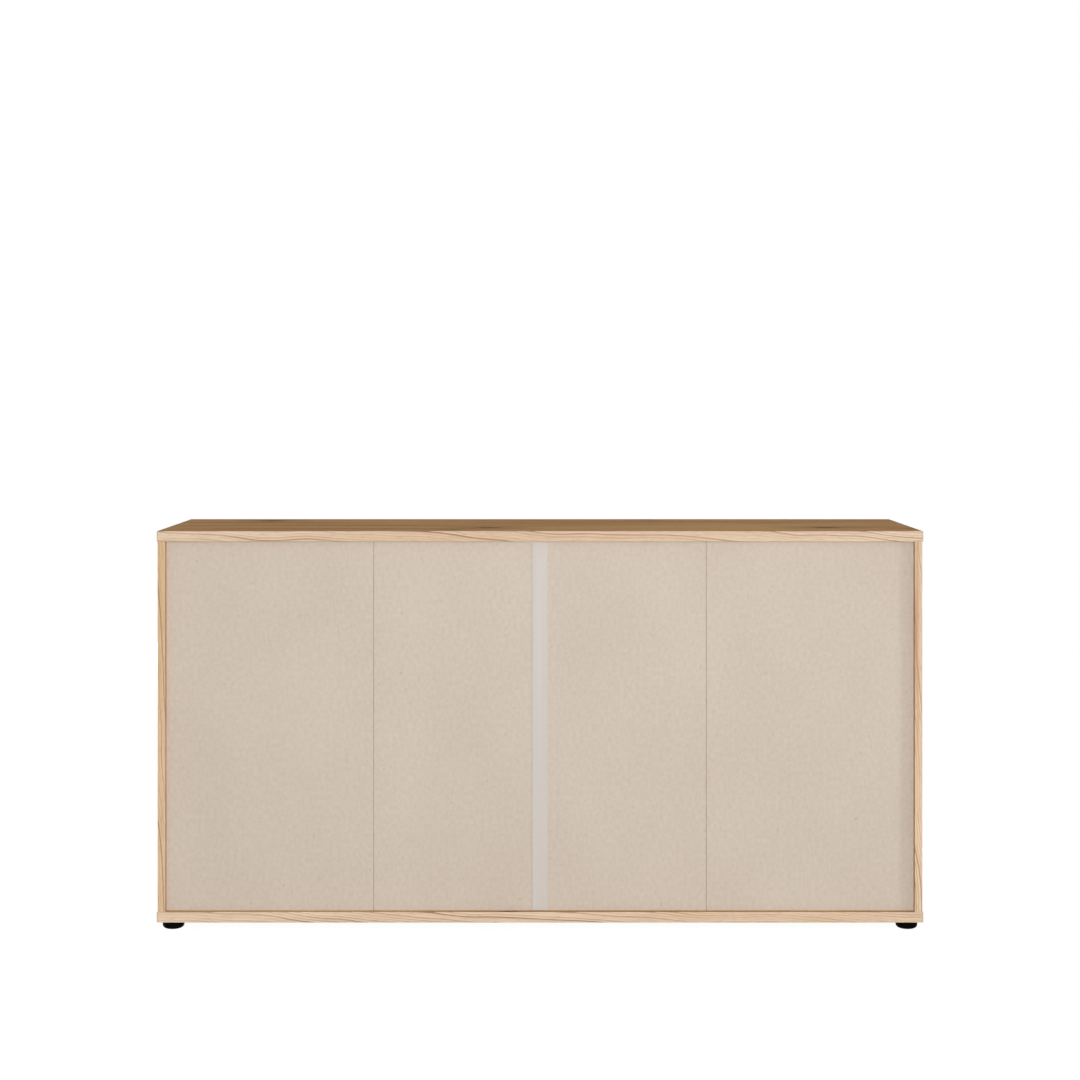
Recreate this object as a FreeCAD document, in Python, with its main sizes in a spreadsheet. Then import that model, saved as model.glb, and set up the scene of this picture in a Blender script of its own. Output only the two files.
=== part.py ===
"""A wide low cabinet on four round feet: two doors, three drawers and a folding fibreboard back.

Millimetres, +Z up. The front faces -Y, +X is to the right seen from the front, and the origin lies on
the floor under the middle of the whole cabinet, handles included.
"""
import FreeCAD
import Part
import Sketcher
import os
import re

# Driving sizes, each set by itself
SIZES = {
    # Carcass boards
    "carcass_width": 1600,
    "carcass_depth": 400,
    "panel_thick": 22,
    "side_height": 773,
    "board_thick": 16,
    "side_inset": 2,
    "divider_offset": 348,
    "band_thick": 2,
    "side_band_thick": 1,
    # Folding back
    "back_recess": 14,
    "leaf_thick": 3,
    "groove_depth": 7,
    "groove_clear": 0.3,
    "groove_play": 0.6,
    "fold_gap": 1.5,
    "tape_width": 24,
    "tape_thick": 0.3,
    "tape_clear": 0.2,
    "joint_width": 31,
    "joint_web": 1.6,
    "joint_wall": 1.2,
    "joint_clear": 0.2,
    "joint_end_clear": 0.4,
    # Feet
    "foot_height": 17,
    "foot_radius": 22.5,
    "foot_base_radius": 16.5,
    "foot_rim": 11.5,
    "foot_curve": 8,
    "foot_inset": 30,
    "nail_radius": 2,
    "nail_length": 14,
    # Cams, bolts and dowels
    "cam_radius": 7.5,
    "cam_depth": 12.5,
    "cam_distance": 34,
    "cam_inset": 60,
    "cam_bore_past": 3,
    "bolt_radius": 3.5,
    "bolt_set": 11,
    "bolt_clear": 0.5,
    "dowel_radius": 4,
    "dowel_length": 30,
    "dowel_pitch": 32,
    "snug_clear": 0.05,
    # Shelves and their pins
    "shelf_clear": 0.8,
    "shelf_setback": 20,
    "shelf_back_clear": 4,
    "pin_radius": 2.5,
    "pin_set": 10,
    "pin_reach": 7,
    "pin_inset": 45,
    "pin_pitch": 32,
    # Doors and drawer fronts
    "front_thick": 16,
    "front_setback": 2,
    "front_clear": 2,
    "front_gap": 3,
    "door_edge_radius": 5,
    "pivot_inset": 8,
    "pivot_radius": 3,
    "pivot_set": 22,
    "pivot_reach": 10,
    "running_clear": 0.05,
    "bush_radius": 5,
    "bush_cap": 1.5,
    "flange_radius": 7,
    "flange_thick": 1,
    "catch_width": 14,
    "catch_depth": 24,
    "catch_height": 46,
    "catch_drop": 30,
    "catch_gap": 0.5,
    "strike_thick": 1,
    # Handles
    "handle_length": 160,
    "handle_spacing": 128,
    "handle_bar": 10,
    "handle_projection": 30,
    "handle_edge": 45,
    "handle_drop": 190,
    "screw_radius": 2,
    "screw_clear": 0.5,
    "screw_grip": 9,
    "screw_head_radius": 4,
    "screw_head": 2.5,
    # Drawer boxes
    "box_board": 12,
    "box_height": 150,
    "box_back_clear": 25,
    "box_lift": 30,
    "base_thick": 3,
    "base_rise": 10,
    "base_groove": 6,
    "base_clear": 0.2,
    # Drawer runners
    "runner_space": 13,
    "runner_setback": 4,
    "runner_back_setback": 4,
    "runner_rise": 45,
    "rail_wall": 1.2,
    "cabinet_rail_height": 35,
    "cabinet_rail_depth": 10.5,
    "drawer_rail_height": 21,
    "drawer_rail_depth": 10,
    "cage_length": 80,
    "cage_depth": 8.6,
    "cage_wall": 0.8,
    "cage_gap": 0.4,
    "cage_ball_clear": 0.15,
    "ball_clear": 0.3,
    "ball_pitch": 24,
    # Length by which a cutting shape passes the face it cuts
    "overrun": 5,
}

SIDES = ("left", "right")
DRAWERS = ("bottom", "middle", "top")
PIN_HOLE_STEPS = (-2, -1, 0, 1, 2)
BALL_STEPS = (-1, 0, 1)

# Places worked out from the driving sizes
PLACES = {
    "half_width": "carcass_width / 2",
    "front_y": "(handle_projection - front_setback - carcass_depth) / 2",
    "rear_y": "front_y + carcass_depth",
    "floor_z": "foot_height + panel_thick",
    "ceiling_z": "floor_z + side_height",
    "side_out": "half_width - side_inset",
    "side_in": "side_out - board_thick",
    "divider_in": "divider_offset - board_thick / 2",
    "divider_out": "divider_offset + board_thick / 2",
    "face_y": "front_y + front_setback",
    "face_back_y": "face_y + front_thick",
    "frame_y": "face_back_y + front_clear",
    "leaf_rear_y": "rear_y - back_recess",
    "leaf_front_y": "leaf_rear_y - leaf_thick",
    "divider_rear_y": "leaf_front_y - tape_thick - tape_clear",
    "cam_front_y": "frame_y + cam_inset",
    "cam_rear_y": "divider_rear_y - cam_inset",
    "shelf_z": "floor_z + (side_height - board_thick) / 2",
    "shelf_front_y": "frame_y + shelf_setback",
    "shelf_rear_y": "leaf_front_y - shelf_back_clear",
    "pin_z": "shelf_z - pin_radius",
    "front_low_z": "floor_z + front_gap",
    "front_high_z": "ceiling_z - front_gap",
    "pivot_x": "side_out - pivot_inset",
    "pivot_y": "face_y + front_thick / 2",
    "bore_depth": "pivot_reach + running_clear",
    "bush_depth": "bore_depth + bush_cap",
    "door_free_x": "divider_offset + front_gap / 2",
    "drawer_half": "divider_offset - front_gap / 2",
    "drawer_height": f"(side_height - front_gap * {len(DRAWERS) + 1}) / {len(DRAWERS)}",
    "box_out": "divider_in - runner_space",
    "box_in": "box_out - box_board",
    "box_rear_y": "leaf_front_y - box_back_clear",
    "runner_front_y": "frame_y + runner_setback",
    "runner_rear_y": "box_rear_y - runner_back_setback",
    "cage_front_y": "(runner_front_y + runner_rear_y - cage_length) / 2",
    "track_low": "drawer_rail_height / 2",
    "track_high": "cabinet_rail_height / 2 - rail_wall",
    "ball_radius": "(track_high - track_low) / 2 - ball_clear",
    "ball_offset": "(track_high + track_low) / 2",
    "cage_height": "ball_offset * 2 + cage_wall",
    "ball_x": "divider_in - rail_wall - (cabinet_rail_depth - rail_wall) / 2",
}

# Ways of standing an outline up: its own x, y and z directions in the cabinet
UPRIGHT = ((1, 0, 0), (0, 1, 0), (0, 0, 1))
RAIL_FACING_RIGHT = ((1, 0, 0), (0, 0, 1), (0, -1, 0))
RAIL_FACING_LEFT = ((-1, 0, 0), (0, 0, 1), (0, 1, 0))
LYING_HANDLE = ((1, 0, 0), (0, -1, 0), (0, 0, -1))
STANDING_HANDLE = ((0, 0, 1), (0, -1, 0), (1, 0, 0))

doc = FreeCAD.newDocument("sideboard")
sheet = doc.addObject("Spreadsheet::Sheet", "sizes")
for row, (alias, number) in enumerate(SIZES.items(), start=1):
    sheet.set(f"A{row}", alias)
    sheet.set(f"B{row}", str(number))
    sheet.setAlias(f"B{row}", alias)
doc.recompute()

nodes = []


# Formulas
def formula(text):
    """Spell a formula out in cells of the sheet, with every place replaced by its own formula."""
    def spell(match):
        word = match.group()
        if word in PLACES:
            return f"({formula(PLACES[word])})"
        return f"sizes.{word}"
    return re.sub(r"[a-z_]+", spell, text)


def value(text):
    """Work a formula out as a number."""
    return float(sheet.evalExpression(formula(text)))


def mirror(side, span):
    """Turn a span on the right of the middle into the same span on the given side."""
    low, high = span
    return span if side == "right" else (f"-({high})", f"-({low})")


def at_side(side, x):
    """Turn a distance on the right of the middle into the same distance on the given side."""
    return x if side == "right" else f"-({x})"


# Shapes
def put(thing, x, y, z):
    """Bind an object's place to formulas."""
    for axis, text in zip("xyz", (x, y, z)):
        thing.setExpression(f"Placement.Base.{axis}", formula(text))


def slab(name, x, y, z):
    """A box between a low and a high formula along each axis."""
    box = doc.addObject("Part::Box", name)
    for size, (low, high) in zip(("Length", "Width", "Height"), (x, y, z)):
        box.setExpression(size, formula(f"({high}) - ({low})"))
    put(box, x[0], y[0], z[0])
    return box


def rod(name, axis, at, span, radius):
    """A cylinder along one axis, at two places across it and between two places along it."""
    cylinder = doc.addObject("Part::Cylinder", name)
    turns = {"x": ((0, 1, 0), 90), "y": ((1, 0, 0), -90), "z": ((0, 0, 1), 0)}
    turn_axis, angle = turns[axis]
    cylinder.Placement.Rotation = FreeCAD.Rotation(FreeCAD.Vector(*turn_axis), angle)
    low, high = span
    cylinder.setExpression("Radius", formula(radius))
    cylinder.setExpression("Height", formula(f"({high}) - ({low})"))
    places = list(at)
    places.insert("xyz".index(axis), low)
    put(cylinder, *places)
    return cylinder


def ball(name, x, y, z, radius):
    """A sphere."""
    sphere = doc.addObject("Part::Sphere", name)
    sphere.setExpression("Radius", formula(radius))
    put(sphere, x, y, z)
    return sphere


def joined(name, things):
    """Several solids fused into one."""
    fuse = doc.addObject("Part::MultiFuse", name)
    fuse.Shapes = things
    return fuse


def without(name, base, tools):
    """A solid with the tools cut out of it."""
    cut = doc.addObject("Part::Cut", name)
    cut.Base = base
    cut.Tool = tools[0] if len(tools) == 1 else joined(f"{name}_cuts", tools)
    return cut


def outline_sketch(body, name, plane_role):
    """An empty sketch on one of a body's own planes."""
    sketch = body.newObject("Sketcher::SketchObject", name)
    plane = next(item for item in body.Origin.OriginFeatures if item.Role == plane_role)
    sketch.AttachmentSupport = [(plane, "")]
    sketch.MapMode = "FlatFace"
    return sketch


def fix_point(sketch, edge, end, x, y):
    """Dimension one end of an edge from the sketch's origin with two formulas."""
    for kind, text in (("DistanceX", x), ("DistanceY", y)):
        label = f"{kind}_{edge}_{end}"
        index = sketch.addConstraint(Sketcher.Constraint(kind, -1, 1, edge, end, value(text)))
        sketch.renameConstraint(index, label)
        sketch.setExpression(f"Constraints.{label}", formula(text))


def close_chain(sketch, count):
    """Join the end of each edge to the start of the next."""
    for edge in range(count):
        sketch.addConstraint(Sketcher.Constraint("Coincident", edge, 2, (edge + 1) % count, 1))


def extrusion(name, points, length, directions):
    """A body padded from a straight-edged outline, standing along the given directions."""
    body = doc.addObject("PartDesign::Body", name)
    sketch = outline_sketch(body, f"{name}_outline", "XY_Plane")
    corners = [FreeCAD.Vector(value(x), value(y), 0) for x, y in points]
    for start, end in zip(corners, corners[1:] + corners[:1]):
        sketch.addGeometry(Part.LineSegment(start, end), False)
    close_chain(sketch, len(points))
    for edge, (x, y) in enumerate(points):
        fix_point(sketch, edge, 1, x, y)
    pad = body.newObject("PartDesign::Pad", f"{name}_pad")
    pad.Profile = sketch
    pad.setExpression("Length", formula(length))
    body.Tip = pad
    axes = [FreeCAD.Vector(*direction) for direction in directions]
    body.Placement.Rotation = FreeCAD.Rotation(*axes, "XYZ")
    return body


def channel(name, x, facing, y, middle_z, depth, height, wall):
    """A C-section strip along Y, its web at x and its open side facing left or right."""
    points = [
        ("0", "0"),
        (depth, "0"),
        (depth, wall),
        (wall, wall),
        (wall, f"({height}) - {wall}"),
        (depth, f"({height}) - {wall}"),
        (depth, height),
        ("0", height),
    ]
    directions = RAIL_FACING_RIGHT if facing == "right" else RAIL_FACING_LEFT
    strip = extrusion(name, points, f"({y[1]}) - ({y[0]})", directions)
    put(strip, x, y[1] if facing == "right" else y[0], f"({middle_z}) - ({height}) / 2")
    return strip


def node(label, things):
    """Give a sub-part its label; several solids become one group."""
    thing = things
    if isinstance(things, list):
        thing = doc.addObject("Part::Compound", f"{label}_group")
        thing.Links = things
    thing.Label = label
    nodes.append(thing)


# Vertical boards: the span of each from the middle, and how far back it reaches
BOARDS = {
    "side_panel": (("side_in", "side_out"), "rear_y - side_band_thick"),
    "divider": (("divider_in", "divider_out"), "divider_rear_y"),
}
BOARD_ENDS = {"upper": "ceiling_z", "lower": "floor_z"}
CAM_ROWS = {"front": ("cam_front_y", "dowel_pitch"), "rear": ("cam_rear_y", "-dowel_pitch")}


def into_board(end, distance):
    """Height at a distance from a board's end, measured into the board."""
    return f"{BOARD_ENDS[end]} {'-' if end == 'upper' else '+'} ({distance})"


def into_panel(end, distance):
    """Height at a distance from a board's end, measured into the top or bottom panel."""
    return f"{BOARD_ENDS[end]} {'+' if end == 'upper' else '-'} ({distance})"


def rising(end, inner, outer):
    """Put two heights in order: inner lies in the board and outer towards the panel."""
    return (inner, outer) if end == "upper" else (outer, inner)


# Fittings that pull each vertical board to the top and bottom panels
cams = []
bolts = []
dowels = []
board_cuts = {}
panel_cuts = {"upper": [], "lower": []}


def cam_joint(tag, side, span, end, cam_y, dowel_y, cuts):
    """One cam, its bolt and a dowel at a board's end, with their holes in the board and the panel."""
    middle_x = at_side(side, f"({span[0]} + {span[1]}) / 2")
    bolt_at = (middle_x, cam_y)
    cam_z = into_board(end, "cam_distance")
    cam_at = (cam_y, cam_z)
    disc_x = mirror(side, (span[0], f"{span[0]} + cam_depth"))
    bore_z = rising(end, into_board(end, "cam_distance + cam_bore_past"), into_panel(end, "0"))
    disc = rod(f"{tag}_cam_disc", "x", cam_at, disc_x, "cam_radius")
    bore = rod(f"{tag}_cam_bore", "z", bolt_at, bore_z, "bolt_radius + bolt_clear")
    cams.append(without(f"{tag}_cam", disc, [bore]))
    pocket_x = mirror(side, (f"{span[0]} - overrun", f"{span[0]} + cam_depth + snug_clear"))
    cuts.append(rod(f"{tag}_cam_pocket", "x", cam_at, pocket_x, "cam_radius + snug_clear"))

    bolt_z = rising(end, cam_z, into_panel(end, "bolt_set"))
    bolts.append(rod(f"{tag}_bolt", "z", bolt_at, bolt_z, "bolt_radius"))
    edge_z = rising(end, cam_z, into_panel(end, "overrun"))
    cuts.append(rod(f"{tag}_edge_bore", "z", bolt_at, edge_z, "bolt_radius + bolt_clear"))
    seat_z = rising(end, into_board(end, "overrun"), into_panel(end, "bolt_set + snug_clear"))
    panel_cuts[end].append(rod(f"{tag}_bolt_seat", "z", bolt_at, seat_z, "bolt_radius + snug_clear"))

    dowel_at = (middle_x, dowel_y)
    half = "dowel_length / 2"
    dowel_z = rising(end, into_board(end, half), into_panel(end, half))
    dowels.append(rod(f"{tag}_dowel", "z", dowel_at, dowel_z, "dowel_radius"))
    deep = f"{half} + snug_clear"
    hole_z = rising(end, into_board(end, deep), into_panel(end, deep))
    for holder in (cuts, panel_cuts[end]):
        holder.append(rod(f"{tag}_dowel_hole", "z", dowel_at, hole_z, "dowel_radius + snug_clear"))


for side in SIDES:
    for board, (span, board_rear) in BOARDS.items():
        cuts = board_cuts.setdefault(f"{side}_{board}", [])
        for end in BOARD_ENDS:
            for row, (cam_y, dowel_step) in CAM_ROWS.items():
                tag = f"{side}_{board}_{end}_{row}"
                cam_joint(tag, side, span, end, cam_y, f"{cam_y} + {dowel_step}", cuts)
node("cam_locks", cams)
node("cam_bolts", bolts)
node("wood_dowels", dowels)

# Shelves, their pins, and the rows of pin holes
PIN_ROWS = {"front": "shelf_front_y + pin_inset", "rear": "shelf_rear_y - pin_inset"}
PIN_WALLS = {
    "side_panel": (
        ("side_in - pin_reach", "side_in + pin_set"),
        ("side_in - overrun", "side_in + pin_set + snug_clear"),
    ),
    "divider": (
        ("divider_out - pin_set", "divider_out + pin_reach"),
        ("divider_out - pin_set - snug_clear", "divider_out + overrun"),
    ),
}
shelf_pins = []
for side in SIDES:
    shelf = slab(
        f"{side}_shelf_board",
        mirror(side, ("divider_out + shelf_clear", "side_in - shelf_clear")),
        ("shelf_front_y", "shelf_rear_y"),
        ("shelf_z", "shelf_z + board_thick"),
    )
    node(f"{side}_shelf", shelf)
    for board, (pin_span, hole_span) in PIN_WALLS.items():
        for row, pin_y in PIN_ROWS.items():
            tag = f"{side}_{board}_{row}"
            shelf_pins.append(rod(f"{tag}_pin", "x", (pin_y, "pin_z"), mirror(side, pin_span), "pin_radius"))
            for step in PIN_HOLE_STEPS:
                hole_at = (pin_y, f"pin_z + ({step}) * pin_pitch")
                hole_x = mirror(side, hole_span)
                hole = rod(f"{tag}_pin_hole", "x", hole_at, hole_x, "pin_radius + snug_clear")
                board_cuts[f"{side}_{board}"].append(hole)
node("shelf_pins", shelf_pins)

# Grooves that hold the back leaves
GROOVE_Y = ("leaf_front_y - groove_clear", "leaf_rear_y + groove_clear")
for side in SIDES:
    groove = slab(
        f"{side}_back_groove",
        mirror(side, ("side_in - overrun", "side_in + groove_depth")),
        GROOVE_Y,
        ("floor_z - overrun", "ceiling_z + overrun"),
    )
    board_cuts[f"{side}_side_panel"].append(groove)
GROOVE_X = ("-(side_in + groove_depth)", "side_in + groove_depth")
for end in BOARD_ENDS:
    groove_z = rising(end, into_board(end, "overrun"), into_panel(end, "groove_depth"))
    panel_cuts[end].append(slab(f"{end}_back_groove", GROOVE_X, GROOVE_Y, groove_z))

# Side panels and dividers
for side in SIDES:
    for board, (span, board_rear) in BOARDS.items():
        blank = slab(
            f"{side}_{board}_blank",
            mirror(side, span),
            ("frame_y + side_band_thick", board_rear),
            ("floor_z", "ceiling_z"),
        )
        node(f"{side}_{board}", without(f"{side}_{board}_cut", blank, board_cuts[f"{side}_{board}"]))

# Pivot bushes in the top and bottom panels
bushes = []
for side in SIDES:
    for end in BOARD_ENDS:
        tag = f"{side}_{end}_bush"
        centre = (at_side(side, "pivot_x"), "pivot_y")
        face = BOARD_ENDS[end]
        flange_z = rising(end, into_board(end, "flange_thick"), face)
        flange = rod(f"{tag}_flange", "z", centre, flange_z, "flange_radius")
        sleeve_z = rising(end, face, into_panel(end, "bush_depth"))
        sleeve = rod(f"{tag}_sleeve", "z", centre, sleeve_z, "bush_radius")
        bore_z = rising(end, into_board(end, "overrun"), into_panel(end, "bore_depth"))
        bore = rod(f"{tag}_bore", "z", centre, bore_z, "pivot_radius + running_clear")
        bushes.append(without(tag, joined(f"{tag}_blank", [flange, sleeve]), [bore]))
        seat_z = rising(end, into_board(end, "overrun"), into_panel(end, "bush_depth + snug_clear"))
        panel_cuts[end].append(rod(f"{tag}_seat", "z", centre, seat_z, "bush_radius + snug_clear"))
node("pivot_bushes", bushes)

# Feet: low round bowls, each with a nail moulded in
FOOT_ENDS = {"front": "front_y + foot_inset", "rear": "rear_y - foot_inset"}


def foot(name):
    """A foot revolved about its upright axis from its floor to its nail's tip."""
    body = doc.addObject("PartDesign::Body", name)
    sketch = outline_sketch(body, f"{name}_outline", "XZ_Plane")
    points = [
        ("0", "0"),
        ("foot_base_radius", "0"),
        ("foot_radius", "foot_height - foot_rim"),
        ("foot_radius", "foot_height"),
        ("nail_radius", "foot_height"),
        ("nail_radius", "foot_height + nail_length"),
        ("0", "foot_height + nail_length"),
    ]
    corners = [FreeCAD.Vector(value(x), value(y), 0) for x, y in points]
    curve = value("foot_curve")
    for start, end in zip(corners, corners[1:] + corners[:1]):
        if start == corners[1]:
            chord = end - start
            across = FreeCAD.Vector(-chord.y, chord.x, 0).normalize()
            reach = (curve ** 2 - (chord.Length / 2) ** 2) ** 0.5
            middle = (start + end) * 0.5
            centre = middle + across * reach
            bulge = centre - across * curve
            sketch.addGeometry(Part.Arc(start, bulge, end), False)
        else:
            sketch.addGeometry(Part.LineSegment(start, end), False)
    close_chain(sketch, len(points))
    for edge, (x, y) in enumerate(points):
        fix_point(sketch, edge, 1, x, y)
    radius = sketch.addConstraint(Sketcher.Constraint("Radius", 1, curve))
    sketch.renameConstraint(radius, "curve")
    sketch.setExpression("Constraints.curve", formula("foot_curve"))
    turned = body.newObject("PartDesign::Revolution", f"{name}_turned")
    turned.Profile = sketch
    turned.ReferenceAxis = (sketch, ["V_Axis"])
    turned.Angle = 360
    body.Tip = turned
    return body


for side in SIDES:
    for end, foot_y in FOOT_ENDS.items():
        foot_x = at_side(side, "half_width - foot_inset")
        piece = foot(f"{end}_{side}_foot_body")
        put(piece, foot_x, foot_y, "0")
        node(f"{end}_{side}_foot", piece)
        nail_z = ("foot_height - overrun", "foot_height + nail_length + snug_clear")
        nail = rod(f"{end}_{side}_nail_hole", "z", (foot_x, foot_y), nail_z, "nail_radius + snug_clear")
        panel_cuts["lower"].append(nail)

# Top and bottom panels, with their edge bands
PANELS = {
    "top_panel": ("upper", ("ceiling_z", "ceiling_z + panel_thick")),
    "bottom_panel": ("lower", ("foot_height", "floor_z")),
}
bands = []
for panel, (end, panel_z) in PANELS.items():
    core_x = ("-half_width + band_thick", "half_width - band_thick")
    blank = slab(f"{panel}_blank", core_x, ("front_y + band_thick", "rear_y - band_thick"), panel_z)
    node(panel, without(f"{panel}_cut", blank, panel_cuts[end]))
    for side in SIDES:
        end_x = mirror(side, ("half_width - band_thick", "half_width"))
        bands.append(slab(f"{panel}_{side}_band", end_x, ("front_y", "rear_y"), panel_z))
    bands.append(slab(f"{panel}_front_band", core_x, ("front_y", "front_y + band_thick"), panel_z))
    bands.append(slab(f"{panel}_rear_band", core_x, ("rear_y - band_thick", "rear_y"), panel_z))
for side in SIDES:
    for board, (span, board_rear) in BOARDS.items():
        band_y = ("frame_y", "frame_y + side_band_thick")
        bands.append(slab(f"{side}_{board}_band", mirror(side, span), band_y, ("floor_z", "ceiling_z")))
    side_x = mirror(side, ("side_in", "side_out"))
    band_y = ("rear_y - side_band_thick", "rear_y")
    bands.append(slab(f"{side}_rear_band", side_x, band_y, ("floor_z", "ceiling_z")))
node("edge_bands", bands)

# Back leaves, fold tapes and the joint profile between the inner leaves
LEAVES = {
    "outer": ("divider_offset + fold_gap / 2", "side_in + groove_depth - groove_play"),
    "inner": ("joint_web / 2 + joint_clear", "divider_offset - fold_gap / 2"),
}
LEAF_Z = ("floor_z - groove_depth", "ceiling_z + groove_depth - groove_play")
STRIP_Z = ("floor_z + joint_end_clear", "ceiling_z - joint_end_clear")
tapes = []
for side in SIDES:
    for leaf, span in LEAVES.items():
        sheet_y = ("leaf_front_y", "leaf_rear_y")
        node(f"{side}_{leaf}_back_leaf", slab(f"{side}_{leaf}_sheet", mirror(side, span), sheet_y, LEAF_Z))
    tape_x = mirror(side, ("divider_offset - tape_width / 2", "divider_offset + tape_width / 2"))
    tapes.append(slab(f"{side}_tape", tape_x, ("leaf_front_y - tape_thick", "leaf_front_y"), STRIP_Z))
node("fold_tapes", tapes)

PROFILE_DEPTH = "leaf_thick + joint_clear * 2 + joint_wall * 2"
WEB_LEFT = "(joint_width - joint_web) / 2"
WEB_RIGHT = "(joint_width + joint_web) / 2"
FAR_WALL = f"{PROFILE_DEPTH} - joint_wall"
profile = extrusion(
    "joint_profile_body",
    [
        ("0", "0"),
        ("joint_width", "0"),
        ("joint_width", "joint_wall"),
        (WEB_RIGHT, "joint_wall"),
        (WEB_RIGHT, FAR_WALL),
        ("joint_width", FAR_WALL),
        ("joint_width", PROFILE_DEPTH),
        ("0", PROFILE_DEPTH),
        ("0", FAR_WALL),
        (WEB_LEFT, FAR_WALL),
        (WEB_LEFT, "joint_wall"),
        ("0", "joint_wall"),
    ],
    f"({STRIP_Z[1]}) - ({STRIP_Z[0]})",
    UPRIGHT,
)
put(profile, "-joint_width / 2", "leaf_front_y - joint_clear - joint_wall", STRIP_Z[0])
node("back_joint_profile", profile)

# Handles and their screws
POST_EDGE = "(handle_length - handle_spacing - handle_bar) / 2"
BAR_BACK = "handle_projection - handle_bar"
HANDLE_OUTLINE = [
    (POST_EDGE, "0"),
    (f"{POST_EDGE} + handle_bar", "0"),
    (f"{POST_EDGE} + handle_bar", BAR_BACK),
    (f"handle_length - {POST_EDGE} - handle_bar", BAR_BACK),
    (f"handle_length - {POST_EDGE} - handle_bar", "0"),
    (f"handle_length - {POST_EDGE}", "0"),
    (f"handle_length - {POST_EDGE}", BAR_BACK),
    ("handle_length", BAR_BACK),
    ("handle_length", "handle_projection"),
    ("0", "handle_projection"),
    ("0", BAR_BACK),
    (POST_EDGE, BAR_BACK),
]


def handle(owner, x, z, standing):
    """Make a handle and its screws on a front, as two nodes, and return the screw holes for the front."""
    directions = STANDING_HANDLE if standing else LYING_HANDLE
    bar = extrusion(f"{owner}_handle_bar", HANDLE_OUTLINE, "handle_bar", directions)
    if standing:
        put(bar, f"{x} - handle_bar / 2", "face_y", f"{z} - handle_length / 2")
    else:
        put(bar, f"{x} - handle_length / 2", "face_y", f"{z} + handle_bar / 2")
    threads = []
    screws = []
    holes = []
    for sign in ("-", "+"):
        tag = f"{owner}_handle_{'low' if sign == '-' else 'high'}"
        shift = f"{sign} handle_spacing / 2"
        at = (x, f"{z} {shift}") if standing else (f"{x} {shift}", z)
        thread_y = ("face_y - screw_grip - snug_clear", "face_y + overrun")
        threads.append(rod(f"{tag}_thread", "y", at, thread_y, "screw_radius + snug_clear"))
        shank = rod(f"{tag}_shank", "y", at, ("face_y - screw_grip", "face_back_y"), "screw_radius")
        head = rod(f"{tag}_head", "y", at, ("face_back_y", "face_back_y + screw_head"), "screw_head_radius")
        screws.append(joined(f"{tag}_screw", [shank, head]))
        hole_y = ("face_y - overrun", "face_back_y + overrun")
        holes.append(rod(f"{tag}_hole", "y", at, hole_y, "screw_radius + screw_clear"))
    node(f"{owner}_handle", without(f"{owner}_handle_cut", bar, threads))
    node(f"{owner}_handle_screws", screws)
    return holes


# Doors on pivot pins, with a strike plate each and a magnetic catch on the divider
catches = []
for side in SIDES:
    owner = f"{side}_door"
    door_z = ("front_low_z", "front_high_z")
    cut_z = ("front_low_z - overrun", "front_high_z + overrun")
    door_x = mirror(side, ("door_free_x", "side_out"))
    blank = slab(f"{owner}_blank", door_x, ("face_y", "face_back_y"), door_z)
    corner = slab(
        f"{owner}_corner",
        mirror(side, ("side_out - door_edge_radius", "side_out + overrun")),
        ("face_back_y - door_edge_radius", "face_back_y + overrun"),
        cut_z,
    )
    round_at = (at_side(side, "side_out - door_edge_radius"), "face_back_y - door_edge_radius")
    round_edge = rod(f"{owner}_round", "z", round_at, cut_z, "door_edge_radius")
    cuts = [without(f"{owner}_rounding", corner, [round_edge])]
    pins = []
    pin_at = (at_side(side, "pivot_x"), "pivot_y")
    pin_spans = {
        "upper": ("front_high_z - pivot_set", "ceiling_z + pivot_reach", "front_high_z + overrun"),
        "lower": ("front_low_z + pivot_set", "floor_z - pivot_reach", "front_low_z - overrun"),
    }
    for end, (root, tip, beyond) in pin_spans.items():
        pins.append(rod(f"{owner}_{end}_pin", "z", pin_at, rising(end, root, tip), "pivot_radius"))
        socket_z = rising(end, root, beyond)
        cuts.append(rod(f"{owner}_{end}_socket", "z", pin_at, socket_z, "pivot_radius + snug_clear"))
    node(f"{owner}_pivot_pins", pins)
    cuts += handle(owner, at_side(side, "(door_free_x + handle_edge)"), "(front_high_z - handle_drop)", True)
    node(f"{owner}_panel", without(f"{owner}_cut", blank, cuts))
    catch_x = mirror(side, ("divider_out", "divider_out + catch_width"))
    catch_z = ("ceiling_z - catch_drop - catch_height", "ceiling_z - catch_drop")
    strike_y = ("face_back_y", "face_back_y + strike_thick")
    node(f"{owner}_strike_plate", slab(f"{owner}_strike", catch_x, strike_y, catch_z))
    catch_front = "face_back_y + strike_thick + catch_gap"
    catches.append(slab(f"{owner}_catch", catch_x, (catch_front, f"{catch_front} + catch_depth"), catch_z))
node("door_catches", catches)

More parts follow.
